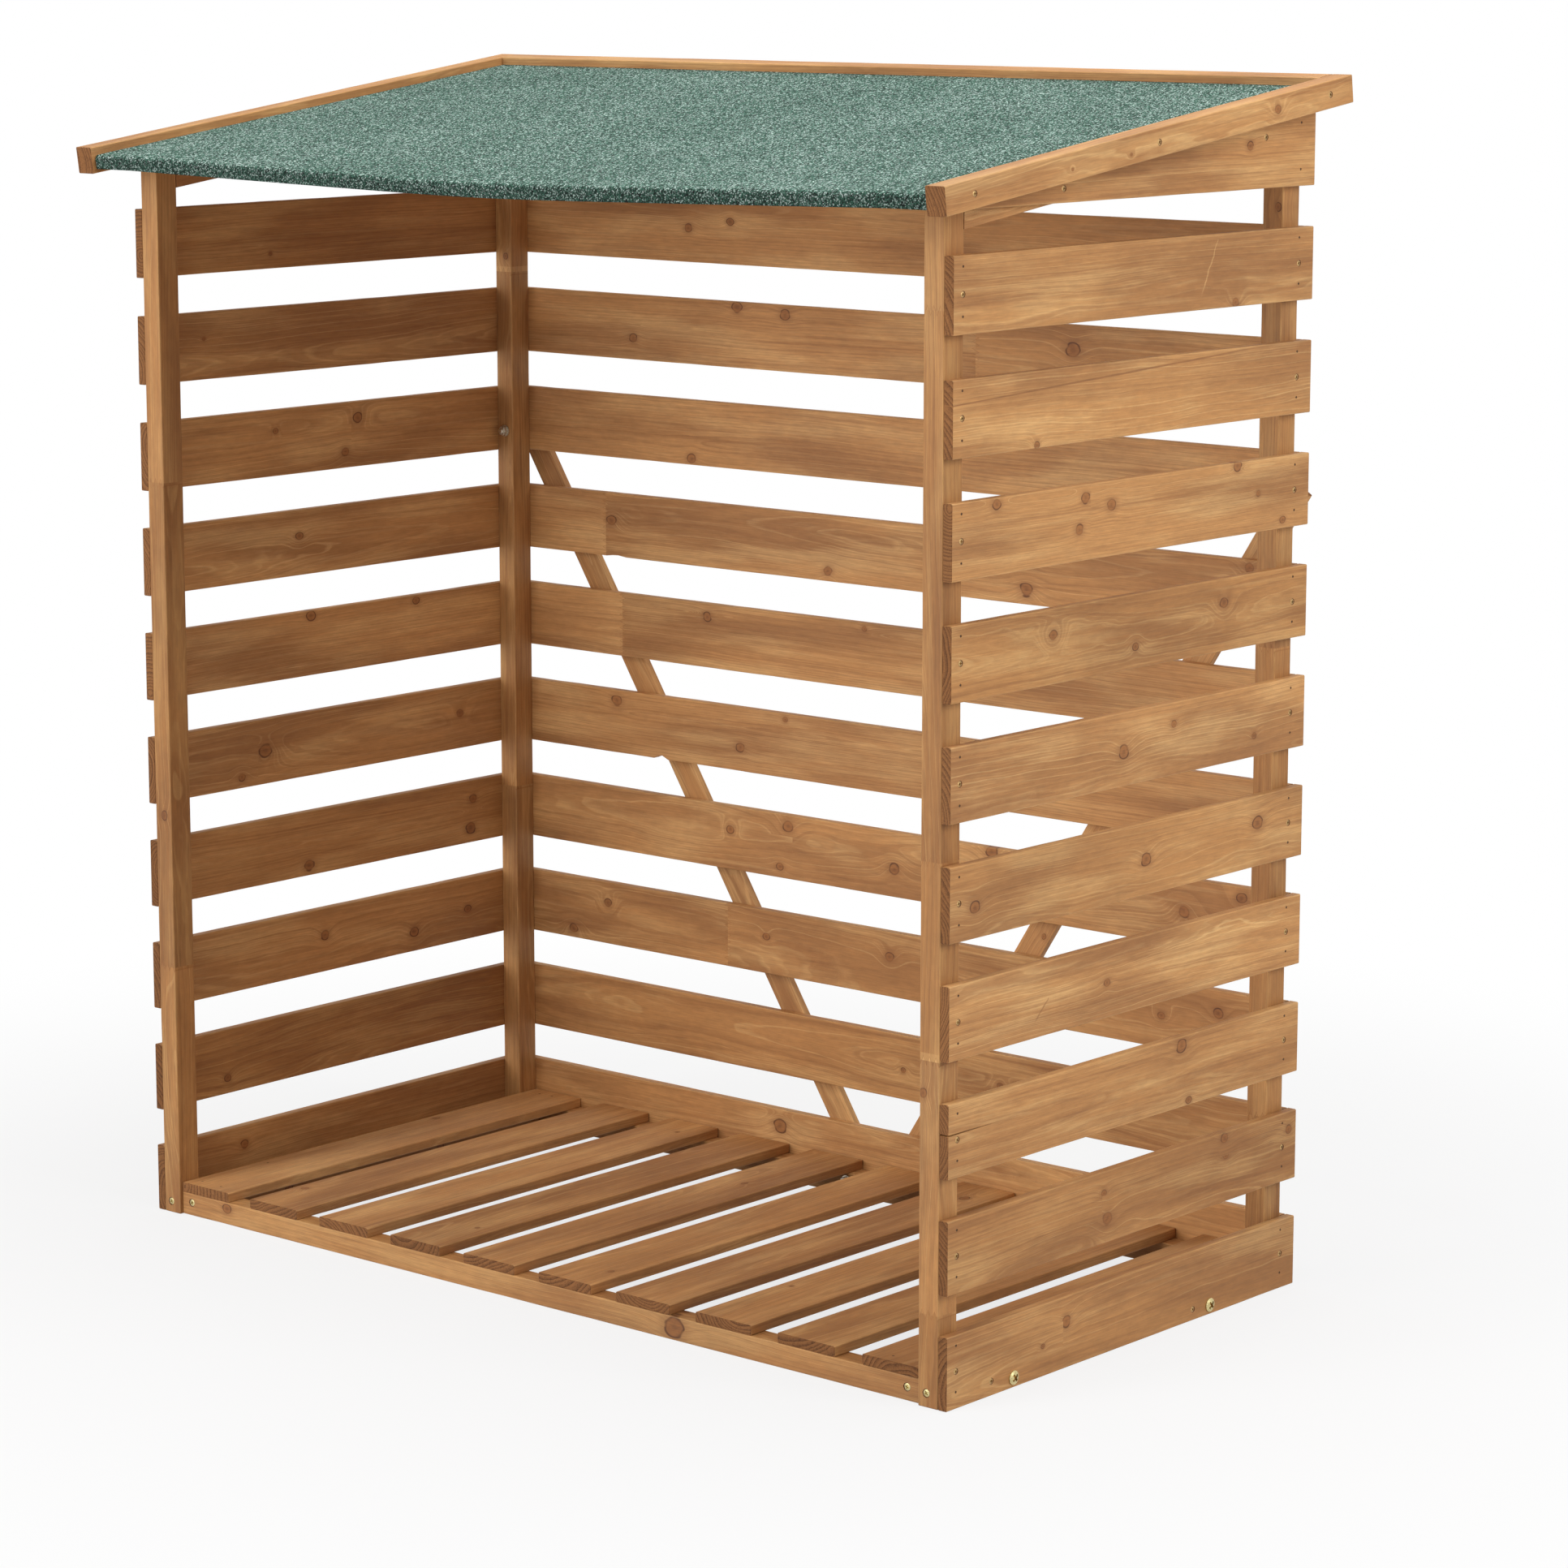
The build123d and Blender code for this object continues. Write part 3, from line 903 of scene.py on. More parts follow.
# Cracks and streaks: share along and across where each starts and stops, and tone, from dark to pale
RIGHT_SCARS = {
    10: (0.718, 0.95, 0.669, 0.16, 0.55),
    9: (-0.05, 0.66, 0.95, 1.02, -1.0),
    4: (0.268, 0.51, 0.227, 0.21, -0.7),
}
KNOT_TABLES = {"right": RIGHT_KNOTS, "left": LEFT_KNOTS}
# Finger joints: share along the board, and length of the pale patch past it
BACK_JOINTS = {9: ((0.623, 0.0),), 7: ((0.131, 0.0),), 6: ((0.154, 0.0),), 3: ((0.30, 0.0),)}
POST_JOINTS = {
    "post_front_right": ((0.08, 0.0), (0.295, 0.0075), (0.461, 0.0), (0.908, 0.0)),
    "post_front_left": ((0.24, 0.0), (0.7, 0.0)),
    "post_rear_left": ((0.33, 0.0), (0.82, 0.006)),
    "post_rear_right": ((0.15, 0.0), (0.55, 0.0), (0.86, 0.0)),
}
# Chips: place along from the middle, length, depth and edge. Split ends: place across, length and opening
BACK_CHIPS = {5: ((-0.316, 0.022, 0.005, -1),), 7: ((-0.382, 0.03, 0.002, -1),)}
RIGHT_SPLITS = {3: (0.0065, 0.085, 0.0016)}
# Boards darker or lighter than the rest, by row: partly their own stain, partly painted shade on the lower
# rows of the left and back walls and painted light on the upper back rows
SIDE_STAIN_AND_SHADE = {"right": {5: 0.6, 6: 0.5, 4: 0.3}, "left": {8: -0.8, 4: -1.2, 3: -2.0, 2: -2.0, 1: -1.5}}
BACK_STAIN_AND_SHADE = {9: 0.5, 8: 1.8, 7: 0.9, 5: 1.0, 3: -1.2, 2: -0.8}

# Fixings in a slat's end: kind and share across
END_FIXINGS = (("nail", 0.86), ("screw", 0.51), ("nail", 0.23))
TAPER_SCREWS = ((-0.106, 1.1351), (0.216, 1.1712))
FLOOR_NAILS = ((0.03, 0.19), (0.026, 0.63), (0.209, 0.15), (0.97, 0.30), (0.972, 0.56))
TRIM_SCREW_SHARES = (0.066, 0.5, 0.94)
BASE_BOLT_PLACES = ((-0.166, 0.010), (0.1536, 0.010))
BASE_SCREW_PLACES = ((-0.200, 0.0144), (0.125, 0.0115))
RAIL_SCREWS = {"left": (-0.5006, 0.0143), "right": (0.4984, 0.0135)}
POST_SCREWS = {"left": (-0.529, 0.012), "right": (0.525, 0.0138)}
# The braces' bolts, and how far a brace goes on past its upper one
BRACE_HEAD_Z = 0.808
BRACE_FOOT = (0.0206, 0.015)
BRACE_END = 0.016
# A fixing's hole, in radii of its head
PIT_WIDTH = 1.25
PIT_DEPTH = 1.1


def head_radius(kind, fasteners):
    radii = {
        "nail": fasteners.nail_radius,
        "screw": fasteners.slat_screw_radius,
        "frame": fasteners.screw_radius,
    }
    return radii[kind]


def pit(kind, fasteners):
    """Radius and depth of the hole that a fixing sits in."""
    radius = head_radius(kind, fasteners)
    return radius * PIT_WIDTH, radius * PIT_DEPTH


def foot_hole(board, spot, fasteners):
    """The hole for a screw in the front face of a post's foot or of the front rail."""
    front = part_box(board.name)[0].y
    place = board.place.inverted() @ Vector((spot[0], front, spot[1]))
    return (place.x, place.y, math.copysign(1, place.z), *pit("frame", fasteners))


def end_fixings(board, columns):
    """Kind and place, in a slat's own space, of what fixes it to its posts."""
    return [(kind, u, (share - 0.5) * board.size.y) for u in columns for kind, share in END_FIXINGS]


def slat_fixings(board, columns, row):
    """A side slat's fixings. The tapered one has nails at its tall end and screws along its slope."""
    if row < SLAT_ROWS:
        return end_fixings(board, columns)
    spots = [board.place.inverted() @ Vector((0, y, z)) for y, z in TAPER_SCREWS]
    nails = [fixing for fixing in end_fixings(board, columns[-1:]) if fixing[0] == "nail"]
    return nails + [("screw", spot.x, spot.y) for spot in spots]


def side_slat(hand, row, fasteners):
    """One side slat, with its knots, holes and damage."""
    node = f"side_slat_{hand}_{row:02d}"
    low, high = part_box(node)
    high.z = low.z + SLAT_HEIGHT
    knots = KNOT_TABLES[hand].get(row, ()) or scattered_knots(node, 1)
    board = boxed_board(node, low, high, Y, Z, knots=knots, stain=SIDE_STAIN_AND_SHADE[hand].get(row, 0.0),
                        bends=1 < row < SLAT_ROWS)
    columns = [y - board.place.translation.y for y in (FRONT_POST_Y, REAR_POST_Y)]
    fixings = slat_fixings(board, columns, row)
    if row == 1 and hand == "right":
        fixings += [("screw", y - board.place.translation.y, z - board.place.translation.z)
                    for y, z in BASE_SCREW_PLACES]
    board.holes = tuple((u, v, HANDS[hand], *pit(kind, fasteners)) for kind, u, v in fixings)
    if row == SLAT_ROWS:
        board.cuts = (DECK_UNDERSIDE,)
    if hand == "right":
        board.scar = RIGHT_SCARS.get(row, ())
        board.split = RIGHT_SPLITS.get(row, ())
    return board, fixings


def back_slat(row, fasteners):
    """One back slat, between the side walls."""
    low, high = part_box("back_slats")
    low.z += SLAT_PITCH * (row - 1)
    high.z = low.z + SLAT_HEIGHT
    knots = BACK_KNOTS.get(row, ()) or scattered_knots(f"back_slat_{row}", 2)
    board = boxed_board(f"back_slat_{row}", low, high, X, Z, knots=knots, joints=BACK_JOINTS.get(row, ()),
                        chips=BACK_CHIPS.get(row, ()), stain=BACK_STAIN_AND_SHADE.get(row, 0.0), bends=row > 1)
    fixings = end_fixings(board, (-POST_X, POST_X))
    board.holes = tuple((u, v, -1, *pit(kind, fasteners)) for kind, u, v in fixings)
    return board, fixings


def floor_board(number, fasteners):
    """One floor board, front to back on the rails. The end boards are nailed to their bearers."""
    low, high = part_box("floor_boards")
    pitch = (high.x - low.x - SLAT_HEIGHT) / (FLOOR_BOARDS - 1)
    low.x += pitch * (number - 1)
    high.x = low.x + SLAT_HEIGHT
    knots = FLOOR_KNOTS.get(number, ()) or scattered_knots(f"floor_board_{number}", 1)
    board = boxed_board(f"floor_board_{number}", low, high, Y, X, knots=knots)
    fixings = []
    if number in (1, FLOOR_BOARDS):
        flip = number == FLOOR_BOARDS
        fixings = [("nail", (a - 0.5) * board.size.x, ((1 - b if flip else b) - 0.5) * board.size.y)
                   for a, b in FLOOR_NAILS]
    board.holes = tuple((u, v, -1, *pit(kind, fasteners)) for kind, u, v in fixings)
    return board, fixings


def brace(hand, side):
    """One diagonal, its foot sawn clear of the ground and of the other brace."""
    node = f"back_brace_{hand}"
    low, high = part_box(node)
    foot = Vector((side * BRACE_FOOT[0], (low.y + high.y) / 2, BRACE_FOOT[1]))
    head = Vector((side * POST_X, foot.y, BRACE_HEAD_Z))
    along = (head - foot).normalized()
    across = Y.cross(along)
    width = 2 * (high.z - head.z - BRACE_END * along.z) / abs(across.z)
    start = foot - along * width
    stop = head + along * BRACE_END
    size = Vector(((stop - start).length, width, high.y - low.y))
    inner = low if side > 0 else high
    return Board(node, timber_space((start + stop) / 2, along, across), size,
                 cuts=((low, -Z), (inner, -side * X)), knots=scattered_knots(node, 2))


# Posts are left long before the sloped cut
SAW_OVERRUN = 0.002
# Posts and floor rails took more stain than the slats
POST_STAIN = -2.0
RAIL_STAIN = -1.2


class LOGSTORE_OT_posts(bpy.types.Operator):
    """Four posts, cut to the roof's slope"""
    bl_idname = "log_store.posts"
    bl_label = "Posts"

    def execute(self, context):
        timber = context.scene.log_store_timber
        for end in ("front", "rear"):
            for hand in HANDS:
                node = f"post_{end}_{hand}"
                low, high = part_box(node)
                board = boxed_board(node, low, high + Z * SAW_OVERRUN, Z, X, cuts=(DECK_UNDERSIDE,),
                                    joints=POST_JOINTS[node], knots=scattered_knots(node, 1),
                                    stain=POST_STAIN)
                if end == "front":
                    board.holes = (foot_hole(board, POST_SCREWS[hand], context.scene.log_store_fasteners),)
                timber_piece(f"{node}_timber", [board], "frame_timber", timber, node)
        return {"FINISHED"}


class LOGSTORE_OT_rails(bpy.types.Operator):
    """Head rails, foot rails, floor rails and bearers"""
    bl_idname = "log_store.rails"
    bl_label = "Rails and bearers"

    def execute(self, context):
        timber = context.scene.log_store_timber
        for hand in HANDS:
            node = f"head_rail_{hand}"
            low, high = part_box(node)
            board = roof_board(node, Y, Z, knots=scattered_knots(node, 2),
                               cuts=((low, -Y), (high, Y)))
            timber_piece(f"{node}_timber", [board], "frame_timber", timber, node)
            for node in (f"foot_rail_{hand}", f"floor_bearer_{hand}"):
                board = node_board(node, Y, Z, knots=scattered_knots(node, 2))
                timber_piece(f"{node}_timber", [board], "frame_timber", timber, node)
        for end in ("front", "rear"):
            node = f"floor_rail_{end}"
            knots = FRONT_RAIL_KNOTS if end == "front" else scattered_knots(node, 3)
            board = node_board(node, X, Z, knots=knots, stain=RAIL_STAIN)
            if end == "front":
                board.holes = tuple(foot_hole(board, spot, context.scene.log_store_fasteners)
                                    for spot in RAIL_SCREWS.values())
            timber_piece(f"{node}_timber", [board], "frame_timber", timber, node)
        return {"FINISHED"}


class LOGSTORE_OT_side_slats(bpy.types.Operator):
    """Slats of both side walls"""
    bl_idname = "log_store.side_slats"
    bl_label = "Side slats"

    def execute(self, context):
        scene = context.scene
        for hand in HANDS:
            for row in range(1, SLAT_ROWS + 1):
                board, _ = side_slat(hand, row, scene.log_store_fasteners)
                timber_piece(f"{board.name}_timber", [board], "slat_timber", scene.log_store_timber,
                             board.name)
        return {"FINISHED"}


class LOGSTORE_OT_back_wall(bpy.types.Operator):
    """Slats of the back wall and the braces behind them"""
    bl_idname = "log_store.back_wall"
    bl_label = "Back wall"

    def execute(self, context):
        scene = context.scene
        boards = [back_slat(row, scene.log_store_fasteners)[0] for row in range(1, SLAT_ROWS + 1)]
        timber_piece("back_slat_timber", boards, "slat_timber", scene.log_store_timber, "back_slats")
        for hand, side in HANDS.items():
            board = brace(hand, side)
            timber_piece(f"{board.name}_timber", [board], "frame_timber", scene.log_store_timber,
                         board.name)
        return {"FINISHED"}


class LOGSTORE_OT_floor(bpy.types.Operator):
    """Floor boards, front to back"""
    bl_idname = "log_store.floor"
    bl_label = "Floor boards"

    def execute(self, context):
        scene = context.scene
        boards = [floor_board(number, scene.log_store_fasteners)[0] for number in range(1, FLOOR_BOARDS + 1)]
        timber_piece("floor_board_timber", boards, "slat_timber", scene.log_store_timber, "floor_boards")
        return {"FINISHED"}


# Gap between the deck and the felt, and how softly the sag turns at the middle
FELT_CLEARANCE = 0.001
SAG_ROUNDING = 0.18


def sag_at(place, felt):
    """How far the roof has sunk at a place in its own space: most at the front's middle."""
    share = min(abs(place.x) / CARRIED_X, 1.0)
    dip = (1 - math.hypot(share, SAG_ROUNDING)) / (1 - SAG_ROUNDING)
    back = (FELT_HIGH.y - place.y) / (FELT_HIGH.y - FELT_LOW.y)
    return felt.sag * max(dip, 0.0) * min(max(back, 0.0), 1.0)


class LOGSTORE_OT_roof_deck(bpy.types.Operator):
    """Roof deck, sagging a little between the side walls"""
    bl_idname = "log_store.roof_deck"
    bl_label = "Roof deck"

    def execute(self, context):
        scene = context.scene
        board = roof_board("roof_deck", X, Y, knots=scattered_knots("roof_deck", 6))
        board.size.z -= 2 * FELT_CLEARANCE
        board.size.y -= 2 * FELT_CLEARANCE
        bm = saw(board, scene.log_store_timber)
        for vert in bm.verts:
            vert.co.z -= sag_at(ROOF.inverted() @ vert.co, scene.log_store_felt)
        piece = join("roof_deck_timber", [bm])
        dress(piece, stained_pine("deck_board", scene.log_store_timber), "deck_board", "roof_deck")
        return {"FINISHED"}


def stand(point, normal, turn=0.0):
    """Matrix that sets a fastener made at the origin on a face, with its head outwards."""
    facing = normal.to_track_quat("Z", "Y").to_matrix().to_4x4()
    return Matrix.Translation(point) @ facing @ Matrix.Rotation(turn, 4, "Z")


# A cross head: the lines and depth of its recess in radii, its dome's fall as a share of its rise, its skirt
RECESS_LINES = (-1.0, -0.62, -0.17, 0.0, 0.17, 0.62, 1.0)
RECESS_DEPTH = 0.45
DOME_FALL = 0.75
SKIRT = 0.0006
# Heights of screw heads in radii, and how far a bolt's head stands off its slat, in its own height
SLAT_SCREW_RISE = 0.2
FOOT_SCREW_RISE = 0.15
BOLT_STAND_OFF = 0.15


def cross_head(radius, rise):
    """A domed screw head with a cross recess, its skirt a little way into the timber."""
    bm = bmesh.new()
    half = len(RECESS_LINES) // 2
    bmesh.ops.create_grid(bm, x_segments=2 * half, y_segments=2 * half, size=half)
    for vert in bm.verts:
        place = Vector((RECESS_LINES[round(vert.co.x) + half], RECESS_LINES[round(vert.co.y) + half], 0.0))
        if max(abs(place.x), abs(place.y)) == 1.0:
            place.normalize()
        vert.co = (place.x * radius, place.y * radius, rise * (1 - DOME_FALL * place.length_squared))
    arms = []
    for face in bm.faces:
        near, far = sorted(abs(c) for c in face.calc_center_median().xy / radius)
        if near < RECESS_LINES[-3] and far < RECESS_LINES[-2]:
            arms.append(face)
    sunk = bmesh.ops.extrude_face_region(bm, geom=arms)
    floor = [v for v in sunk["geom"] if isinstance(v, bmesh.types.BMVert)]
    bmesh.ops.delete(bm, geom=arms, context="FACES")
    bmesh.ops.translate(bm, verts=floor, vec=-Z * radius * RECESS_DEPTH)
    rim = bmesh.ops.extrude_edge_only(bm, edges=[e for e in bm.edges if e.is_boundary])
    skirt = [v for v in rim["geom"] if isinstance(v, bmesh.types.BMVert)]
    for vert in skirt:
        vert.co.z = -SKIRT - radius * RECESS_DEPTH
    bmesh.ops.edgeloop_fill(bm, edges=[e for e in bm.edges if e.is_boundary])
    bmesh.ops.recalc_face_normals(bm, faces=bm.faces)
    return bm


def disc(radius, top_radius, low, high, segments):
    """A short closed cylinder or cone that stands on the origin's z axis."""
    bm = bmesh.new()
    bmesh.ops.create_cone(bm, cap_ends=True, segments=segments, radius1=radius, radius2=top_radius,
                          depth=high - low, matrix=Matrix.Translation(Z * (low + high) / 2))
    return bm


NAIL_TAPER = 0.8


def nail_head(radius):
    return disc(radius, radius * NAIL_TAPER, -radius, 0.0, segments=8)


# Radius and height of each, the bolt's end measured from the timber
WASHER = (0.0066, 0.0012)
NUT = (0.0056, 0.0046)
BOLT_END = (0.003, 0.0085)
NUT_CHAMFER = 0.0006


def break_top(bm, above, segments):
    """Chamfer the edges that lie above a height."""
    top = [e for e in bm.edges if all(v.co.z > above for v in e.verts)]
    bmesh.ops.bevel(bm, geom=top, offset=NUT_CHAMFER, offset_type="OFFSET", segments=segments,
                    profile=0.5, affect="EDGES", material=-1)


def nut_on_washer():
    """A bolt's end with its nut and washer."""
    washer = disc(WASHER[0], WASHER[0], 0.0, WASHER[1], segments=24)
    nut = disc(NUT[0], NUT[0], WASHER[1], WASHER[1] + NUT[1], segments=6)
    break_top(nut, WASHER[1] + NUT[1] / 2, segments=2)
    shank = disc(BOLT_END[0], BOLT_END[0], WASHER[1], BOLT_END[1], segments=16)
    break_top(shank, BOLT_END[1] - NUT_CHAMFER, segments=1)
    return [washer, nut, shank]


def placed(bm, matrix):
    bmesh.ops.transform(bm, matrix=matrix, verts=bm.verts)
    return bm


def fixings_of(kind, fasteners):
    """Place and outward direction of every fixing of one kind in the slats and the floor."""
    boards = [(*side_slat(hand, row, fasteners), side) for hand, side in HANDS.items()
              for row in range(1, SLAT_ROWS + 1)]
    boards += [(*back_slat(row, fasteners), -1) for row in range(1, SLAT_ROWS + 1)]
    boards += [(*floor_board(number, fasteners), -1) for number in range(1, FLOOR_BOARDS + 1)]
    for board, fixings, side in boards:
        outward = board.place.to_3x3() @ (Z * side)
        for found, u, v in fixings:
            if found == kind:
                yield board.place @ Vector((u, v, side * board.size.z / 2)), outward


def seat(kind, fasteners):
    """How far below the face a head lies in its hole."""
    return head_radius(kind, fasteners) * PIT_DEPTH * (1 - 1 / PIT_WIDTH)


def plating(name, colour, worn=0.55):
    return kept(name, lambda n: make_plating(n, tuple(colour), worn))


def metal_piece(name, parts, material):
    piece = join(name, parts)
    piece.data.materials.append(material)
    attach(piece, BODY)
    return piece


class LOGSTORE_OT_nails(bpy.types.Operator):
    """Nail heads in the slats' ends and the outer floor boards"""
    bl_idname = "log_store.nails"
    bl_label = "Nails"

    def execute(self, context):
        fasteners = context.scene.log_store_fasteners
        parts = []
        for point, outward in fixings_of("nail", fasteners):
            head = nail_head(fasteners.nail_radius)
            parts.append(placed(head, stand(point - outward * seat("nail", fasteners), outward)))
        metal_piece("nail_heads", parts, plating("nail_steel", fasteners.steel))
        return {"FINISHED"}


class LOGSTORE_OT_screws(bpy.types.Operator):
    """Countersunk screws in the slats, the roof trims and the feet of the frame"""
    bl_idname = "log_store.screws"
    bl_label = "Screws"

    def execute(self, context):
        fasteners = context.scene.log_store_fasteners
        draw = random.Random("screws")
        slats = []
        spots = list(fixings_of("screw", fasteners))
        for hand, side in HANDS.items():
            trim = roof_board(f"roof_trim_{hand}", Y, Z)
            for share in TRIM_SCREW_SHARES:
                spot = Vector(((share - 0.5) * trim.size.x, 0, side * trim.size.z / 2))
                spots.append((trim.place @ spot, X * side))
        for point, outward in spots:
            head = cross_head(fasteners.slat_screw_radius, fasteners.slat_screw_radius * SLAT_SCREW_RISE)
            place = stand(point - outward * seat("screw", fasteners), outward, draw.uniform(0, math.pi / 2))
            slats.append(placed(head, place))
        metal_piece("slat_screws", slats, plating("bronzed_steel", fasteners.bronze))
        feet = []
        for node, holes in (("post_front", POST_SCREWS), ("floor_rail_front", RAIL_SCREWS)):
            for hand, (x, z) in holes.items():
                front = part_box(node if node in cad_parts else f"{node}_{hand}")[0].y
                head = cross_head(fasteners.screw_radius, fasteners.screw_radius * FOOT_SCREW_RISE)
                point = Vector((x, front + seat("frame", fasteners), z))
                feet.append(placed(head, stand(point, -Y, draw.uniform(0, math.pi / 2))))
        metal_piece("foot_screws", feet, plating("yellow_zinc", fasteners.yellow))
        return {"FINISHED"}


class LOGSTORE_OT_bolts(bpy.types.Operator):
    """Bolts through the bottom slats, and the braces' bolts with their nuts"""
    bl_idname = "log_store.bolts"
    bl_label = "Bolts and nuts"

    def execute(self, context):
        fasteners = context.scene.log_store_fasteners
        draw = random.Random("bolts")
        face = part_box("side_slat_right_01")[1].x
        heads = []
        for side in HANDS.values():
            for y, z in BASE_BOLT_PLACES:
                head = cross_head(fasteners.bolt_radius, fasteners.bolt_rise)
                point = Vector((side * (face + fasteners.bolt_rise * BOLT_STAND_OFF), y, z))
                heads.append(placed(head, stand(point, X * side, draw.uniform(0, math.pi / 2))))
        metal_piece("base_bolts", heads, plating("yellow_zinc", fasteners.yellow))
        parts = []
        for hand, side in HANDS.items():
            post_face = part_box(f"post_rear_{hand}")[0].y
            rail_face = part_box("floor_rail_rear")[0].y
            brace_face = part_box(f"back_brace_{hand}")[1].y
            for x, z, front in ((POST_X, BRACE_HEAD_Z, post_face), (*BRACE_FOOT, rail_face)):
                turn = draw.uniform(0, math.pi / 3)
                for part in nut_on_washer():
                    parts.append(placed(part, stand(Vector((side * x, front, z)), -Y, turn)))
                head = cross_head(fasteners.bolt_radius, fasteners.bolt_rise)
                parts.append(placed(head, stand(Vector((side * x, brace_face, z)), Y, turn)))
        metal_piece("brace_bolts", parts, plating("bright_zinc", fasteners.bright))
        return {"FINISHED"}


# The felt's mesh, how far its lumps reach past the lip in bend radii, and their scale in granules
FELT_COLUMNS = 560
FELT_LIP_ROWS = 14
FELT_TOP_ROWS = 40
LUMP_REACH = 3
LUMP_SCALE = 0.8


class LOGSTORE_OT_roof_felt(bpy.types.Operator):
    """Mineral felt, laid on the deck and turned down over its front edge"""
    bl_idname = "log_store.roof_felt"
    bl_label = "Roof felt"

    def execute(self, context):
        felt = context.scene.log_store_felt
        low, high = FELT_LOW, FELT_HIGH
        thickness = high.z - DECK_HIGH.z
        radius = felt.bend_radius
        drop = high.z - low.z - radius
        turn = radius * math.pi / 2
        lip = drop + turn
        rows = FELT_LIP_ROWS + FELT_TOP_ROWS
        bm = bmesh.new()
        bmesh.ops.create_grid(bm, x_segments=FELT_COLUMNS, y_segments=rows, size=1.0)
        half = high.x - felt.edge_gap
        for vert in bm.verts:
            row = (vert.co.y + 1) / 2 * rows
            if row <= FELT_LIP_ROWS:
                run = lip * row / FELT_LIP_ROWS
            else:
                run = lip + (high.y - low.y - radius) * (row - FELT_LIP_ROWS) / FELT_TOP_ROWS
            place, outward = self.profile(run, drop, turn, radius, low, high)
            place.x = vert.co.x * half
            near_lip = max(1 - max(run - lip, 0) / (LUMP_REACH * radius), 0.0)
            lump = noise.noise(place / felt.granule * LUMP_SCALE) * felt.roughness * near_lip
            vert.co = place + outward * (lump - felt.roughness * near_lip)
        bmesh.ops.recalc_face_normals(bm, faces=bm.faces)
        if sum(f.normal.z for f in bm.faces) < 0:
            bmesh.ops.reverse_faces(bm, faces=bm.faces)
        bmesh.ops.solidify(bm, geom=bm.faces[:], thickness=thickness)
        bend = bm.loops.layers.float_vector.new("bend")
        for face in bm.faces:
            face.smooth = True
            for loop in face.loops:
                share = (low.y + radius - loop.vert.co.y) / radius
                loop[bend] = (min(max(share, 0.0), 1.0), 0.0, 0.0)
        for vert in bm.verts:
            vert.co.z -= sag_at(vert.co, felt) / ROOF[2][2]
        bmesh.ops.transform(bm, matrix=ROOF, verts=bm.verts)
        piece = join("roof_felt_sheet", [bm])
        dress(piece, kept("roof_felt_finish", lambda name: make_felt(name, felt)), "roof_felt", "roof_felt")
        return {"FINISHED"}

    @staticmethod
    def profile(run, drop, turn, radius, low, high):
        """Place and outward direction on the felt's face, from the lip's lower edge to the back."""
        if run < drop:
            return Vector((0, low.y, low.z + run)), -Y
        if run < drop + turn:
            angle = (run - drop) / radius
            outward = Vector((0, -math.cos(angle), math.sin(angle)))
            return Vector((0, low.y + radius, high.z - radius)) + outward * radius, outward
        return Vector((0, low.y + radius + run - drop - turn, high.z)), Z.copy()


class LOGSTORE_OT_roof_trims(bpy.types.Operator):
    """Trims round the sides and back of the roof"""
    bl_idname = "log_store.roof_trims"
    bl_label = "Roof trims"

    def execute(self, context):
        scene = context.scene
        for hand, side in HANDS.items():
            node = f"roof_trim_{hand}"
            board = roof_board(node, Y, Z, knots=TRIM_KNOTS.get(hand, ()))
            hole = pit("screw", scene.log_store_fasteners)
            board.holes = tuple(((share - 0.5) * board.size.x, 0.0, side, *hole)
                                for share in TRIM_SCREW_SHARES)
            timber_piece(f"{node}_timber", [board], "frame_timber", scene.log_store_timber, node)
        board = roof_board("roof_trim_rear", X, Z, knots=scattered_knots("roof_trim_rear", 2))
        timber_piece("roof_trim_rear_timber", [board], "frame_timber", scene.log_store_timber,
                     "roof_trim_rear")
        return {"FINISHED"}


# Where the floor's shadow fades out, in metres from the middle, and the floor's glow inside and outside that
SHADOW_REACH = (0.7, 1.7)
FLOOR_GLOW = (0.8, 1.0)


def pale_floor(stage):
    """Studio floor that the camera sees near white and that keeps a soft shadow."""
    s = Sheet("studio_floor")
    output = next(n for n in s.tree.nodes if n.type == "OUTPUT_MATERIAL")
    s.shade(base_color=tuple(stage.floor), roughness=0.9)
    glow = s.add("ShaderNodeEmission")
    mixer = s.add("ShaderNodeMixShader")
    rays = s.add("ShaderNodeLightPath")
    seen = s.math("MAXIMUM", rays.outputs["Is Camera Ray"],
                  s.math("MAXIMUM", rays.outputs["Is Glossy Ray"], rays.outputs["Is Transmission Ray"]))
    length = s.add("ShaderNodeVectorMath", operation="LENGTH")
    s.put(length.inputs[0], s.object_place())
    share = s.step(length.outputs["Value"], *SHADOW_REACH, *FLOOR_GLOW)
    s.put(mixer.inputs[0], s.math("MULTIPLY", seen, share))
    s.tree.links.new(s.shader.outputs[0], mixer.inputs[1])
    s.tree.links.new(glow.outputs[0], mixer.inputs[2])
    s.tree.links.new(mixer.outputs[0], output.inputs["Surface"])
    return s.material


FLOOR_SIZE = 150.0
SENSOR_WIDTH = 36.0
# Name, place, size and power
LAMPS = (
    ("right_lamp", (4.2, 0.2, 2.6), 2.4, 104.0),
    ("front_lamp", (-1.9, -4.6, 1.5), 2.4, 116.0),
    ("high_front_lamp", (-0.2, -3.2, 3.6), 2.2, 74.0),
    ("top_lamp", (0.4, 0.4, 4.6), 2.4, 94.0),
)


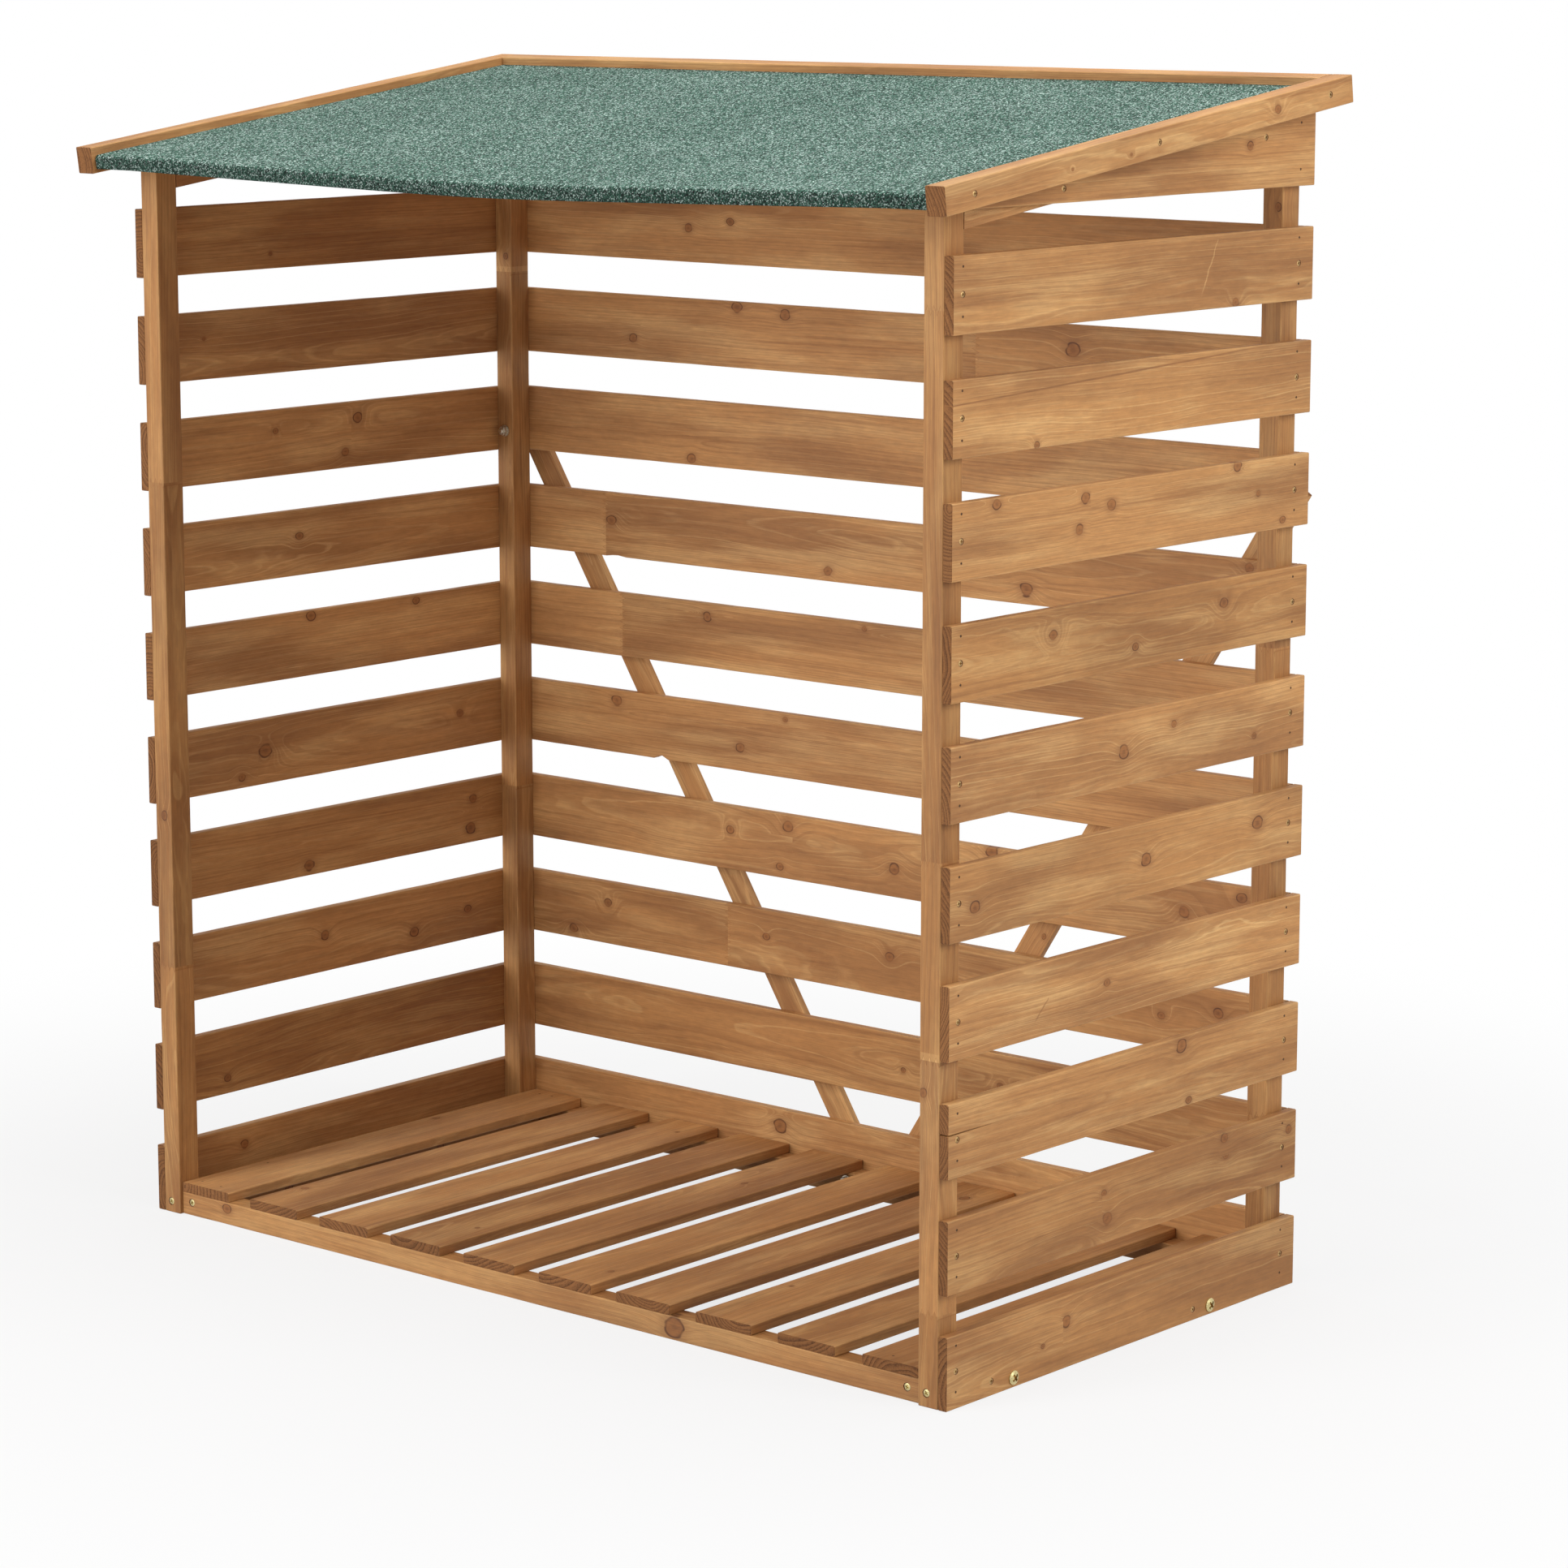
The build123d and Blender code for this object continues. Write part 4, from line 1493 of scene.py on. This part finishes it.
class LOGSTORE_OT_stage(bpy.types.Operator):
    """Floor, lamps, surround and camera"""
    bl_idname = "log_store.stage"
    bl_label = "Stage"

    def execute(self, context):
        scene = context.scene
        stage = scene.log_store_stage
        bm = bmesh.new()
        bmesh.ops.create_grid(bm, x_segments=1, y_segments=1, size=FLOOR_SIZE)
        floor = join("studio_floor", [bm])
        floor.data.materials.append(pale_floor(stage))
        target = (CAD_LOW + CAD_HIGH) / 2
        for name, place, size, power in LAMPS:
            lamp = bpy.data.lights.new(name, "AREA")
            lamp.size = size
            lamp.energy = power
            holder = bpy.data.objects.new(name, lamp)
            holder.location = place
            holder.rotation_euler = (target - Vector(place)).to_track_quat("-Z", "Y").to_euler()
            scene.collection.objects.link(holder)
        self.surround(scene, stage)
        camera = bpy.data.objects.new("camera", bpy.data.cameras.new("camera"))
        camera.data.lens = stage.lens
        camera.data.sensor_width = SENSOR_WIDTH
        camera.location = stage.camera_place
        camera.rotation_euler = (math.pi / 2 - stage.camera_tilt, 0.0, stage.camera_turn)
        scene.collection.objects.link(camera)
        scene.camera = camera
        scene.view_settings.view_transform = "Standard"
        return {"FINISHED"}

    @staticmethod
    def surround(scene, stage):
        world = bpy.data.worlds.new("studio")
        world.use_nodes = True
        tree = world.node_tree
        back = tree.nodes["Background"]
        rays = tree.nodes.new("ShaderNodeLightPath")
        seen = rays.outputs["Is Camera Ray"]
        for name in ("Is Glossy Ray", "Is Transmission Ray"):
            either = tree.nodes.new("ShaderNodeMath")
            either.operation = "MAXIMUM"
            tree.links.new(seen, either.inputs[0])
            tree.links.new(rays.outputs[name], either.inputs[1])
            seen = either.outputs[0]
        level = tree.nodes.new("ShaderNodeMapRange")
        tree.links.new(seen, level.inputs["Value"])
        level.inputs["To Min"].default_value = stage.surround
        back.inputs["Color"].default_value = (1.0, 1.0, 1.0, 1.0)
        tree.links.new(level.outputs[0], back.inputs["Strength"])
        scene.world = world


PIECES = (LOGSTORE_OT_posts, LOGSTORE_OT_rails, LOGSTORE_OT_side_slats, LOGSTORE_OT_back_wall,
          LOGSTORE_OT_floor, LOGSTORE_OT_roof_deck, LOGSTORE_OT_roof_felt, LOGSTORE_OT_roof_trims,
          LOGSTORE_OT_nails, LOGSTORE_OT_screws, LOGSTORE_OT_bolts, LOGSTORE_OT_stage)
SETTINGS = {"log_store_timber": TimberSettings, "log_store_felt": FeltSettings,
            "log_store_fasteners": FastenerSettings, "log_store_stage": StageSettings}


class LOGSTORE_PT_panel(bpy.types.Panel):
    """Pieces and settings of the log store"""
    bl_idname = "LOGSTORE_PT_panel"
    bl_label = "Log Store"
    bl_space_type = "VIEW_3D"
    bl_region_type = "UI"
    bl_category = "Log Store"

    def draw(self, context):
        for operator in PIECES:
            self.layout.operator(operator.bl_idname)
        for name, group in SETTINGS.items():
            box = self.layout.box()
            for key in group.__annotations__:
                box.prop(getattr(context.scene, name), key)


def register():
    for group in SETTINGS.values():
        bpy.utils.register_class(group)
    for name, group in SETTINGS.items():
        setattr(bpy.types.Scene, name, PointerProperty(type=group))
    for operator in (*PIECES, LOGSTORE_PT_panel):
        bpy.utils.register_class(operator)


def unregister():
    for operator in (LOGSTORE_PT_panel, *reversed(PIECES)):
        bpy.utils.unregister_class(operator)
    for name, group in SETTINGS.items():
        delattr(bpy.types.Scene, name)
        bpy.utils.unregister_class(group)


def main():
    register()
    for operator in PIECES:
        group, name = operator.bl_idname.split(".")
        getattr(getattr(bpy.ops, group), name)()


if __name__ == "__main__":
    main()
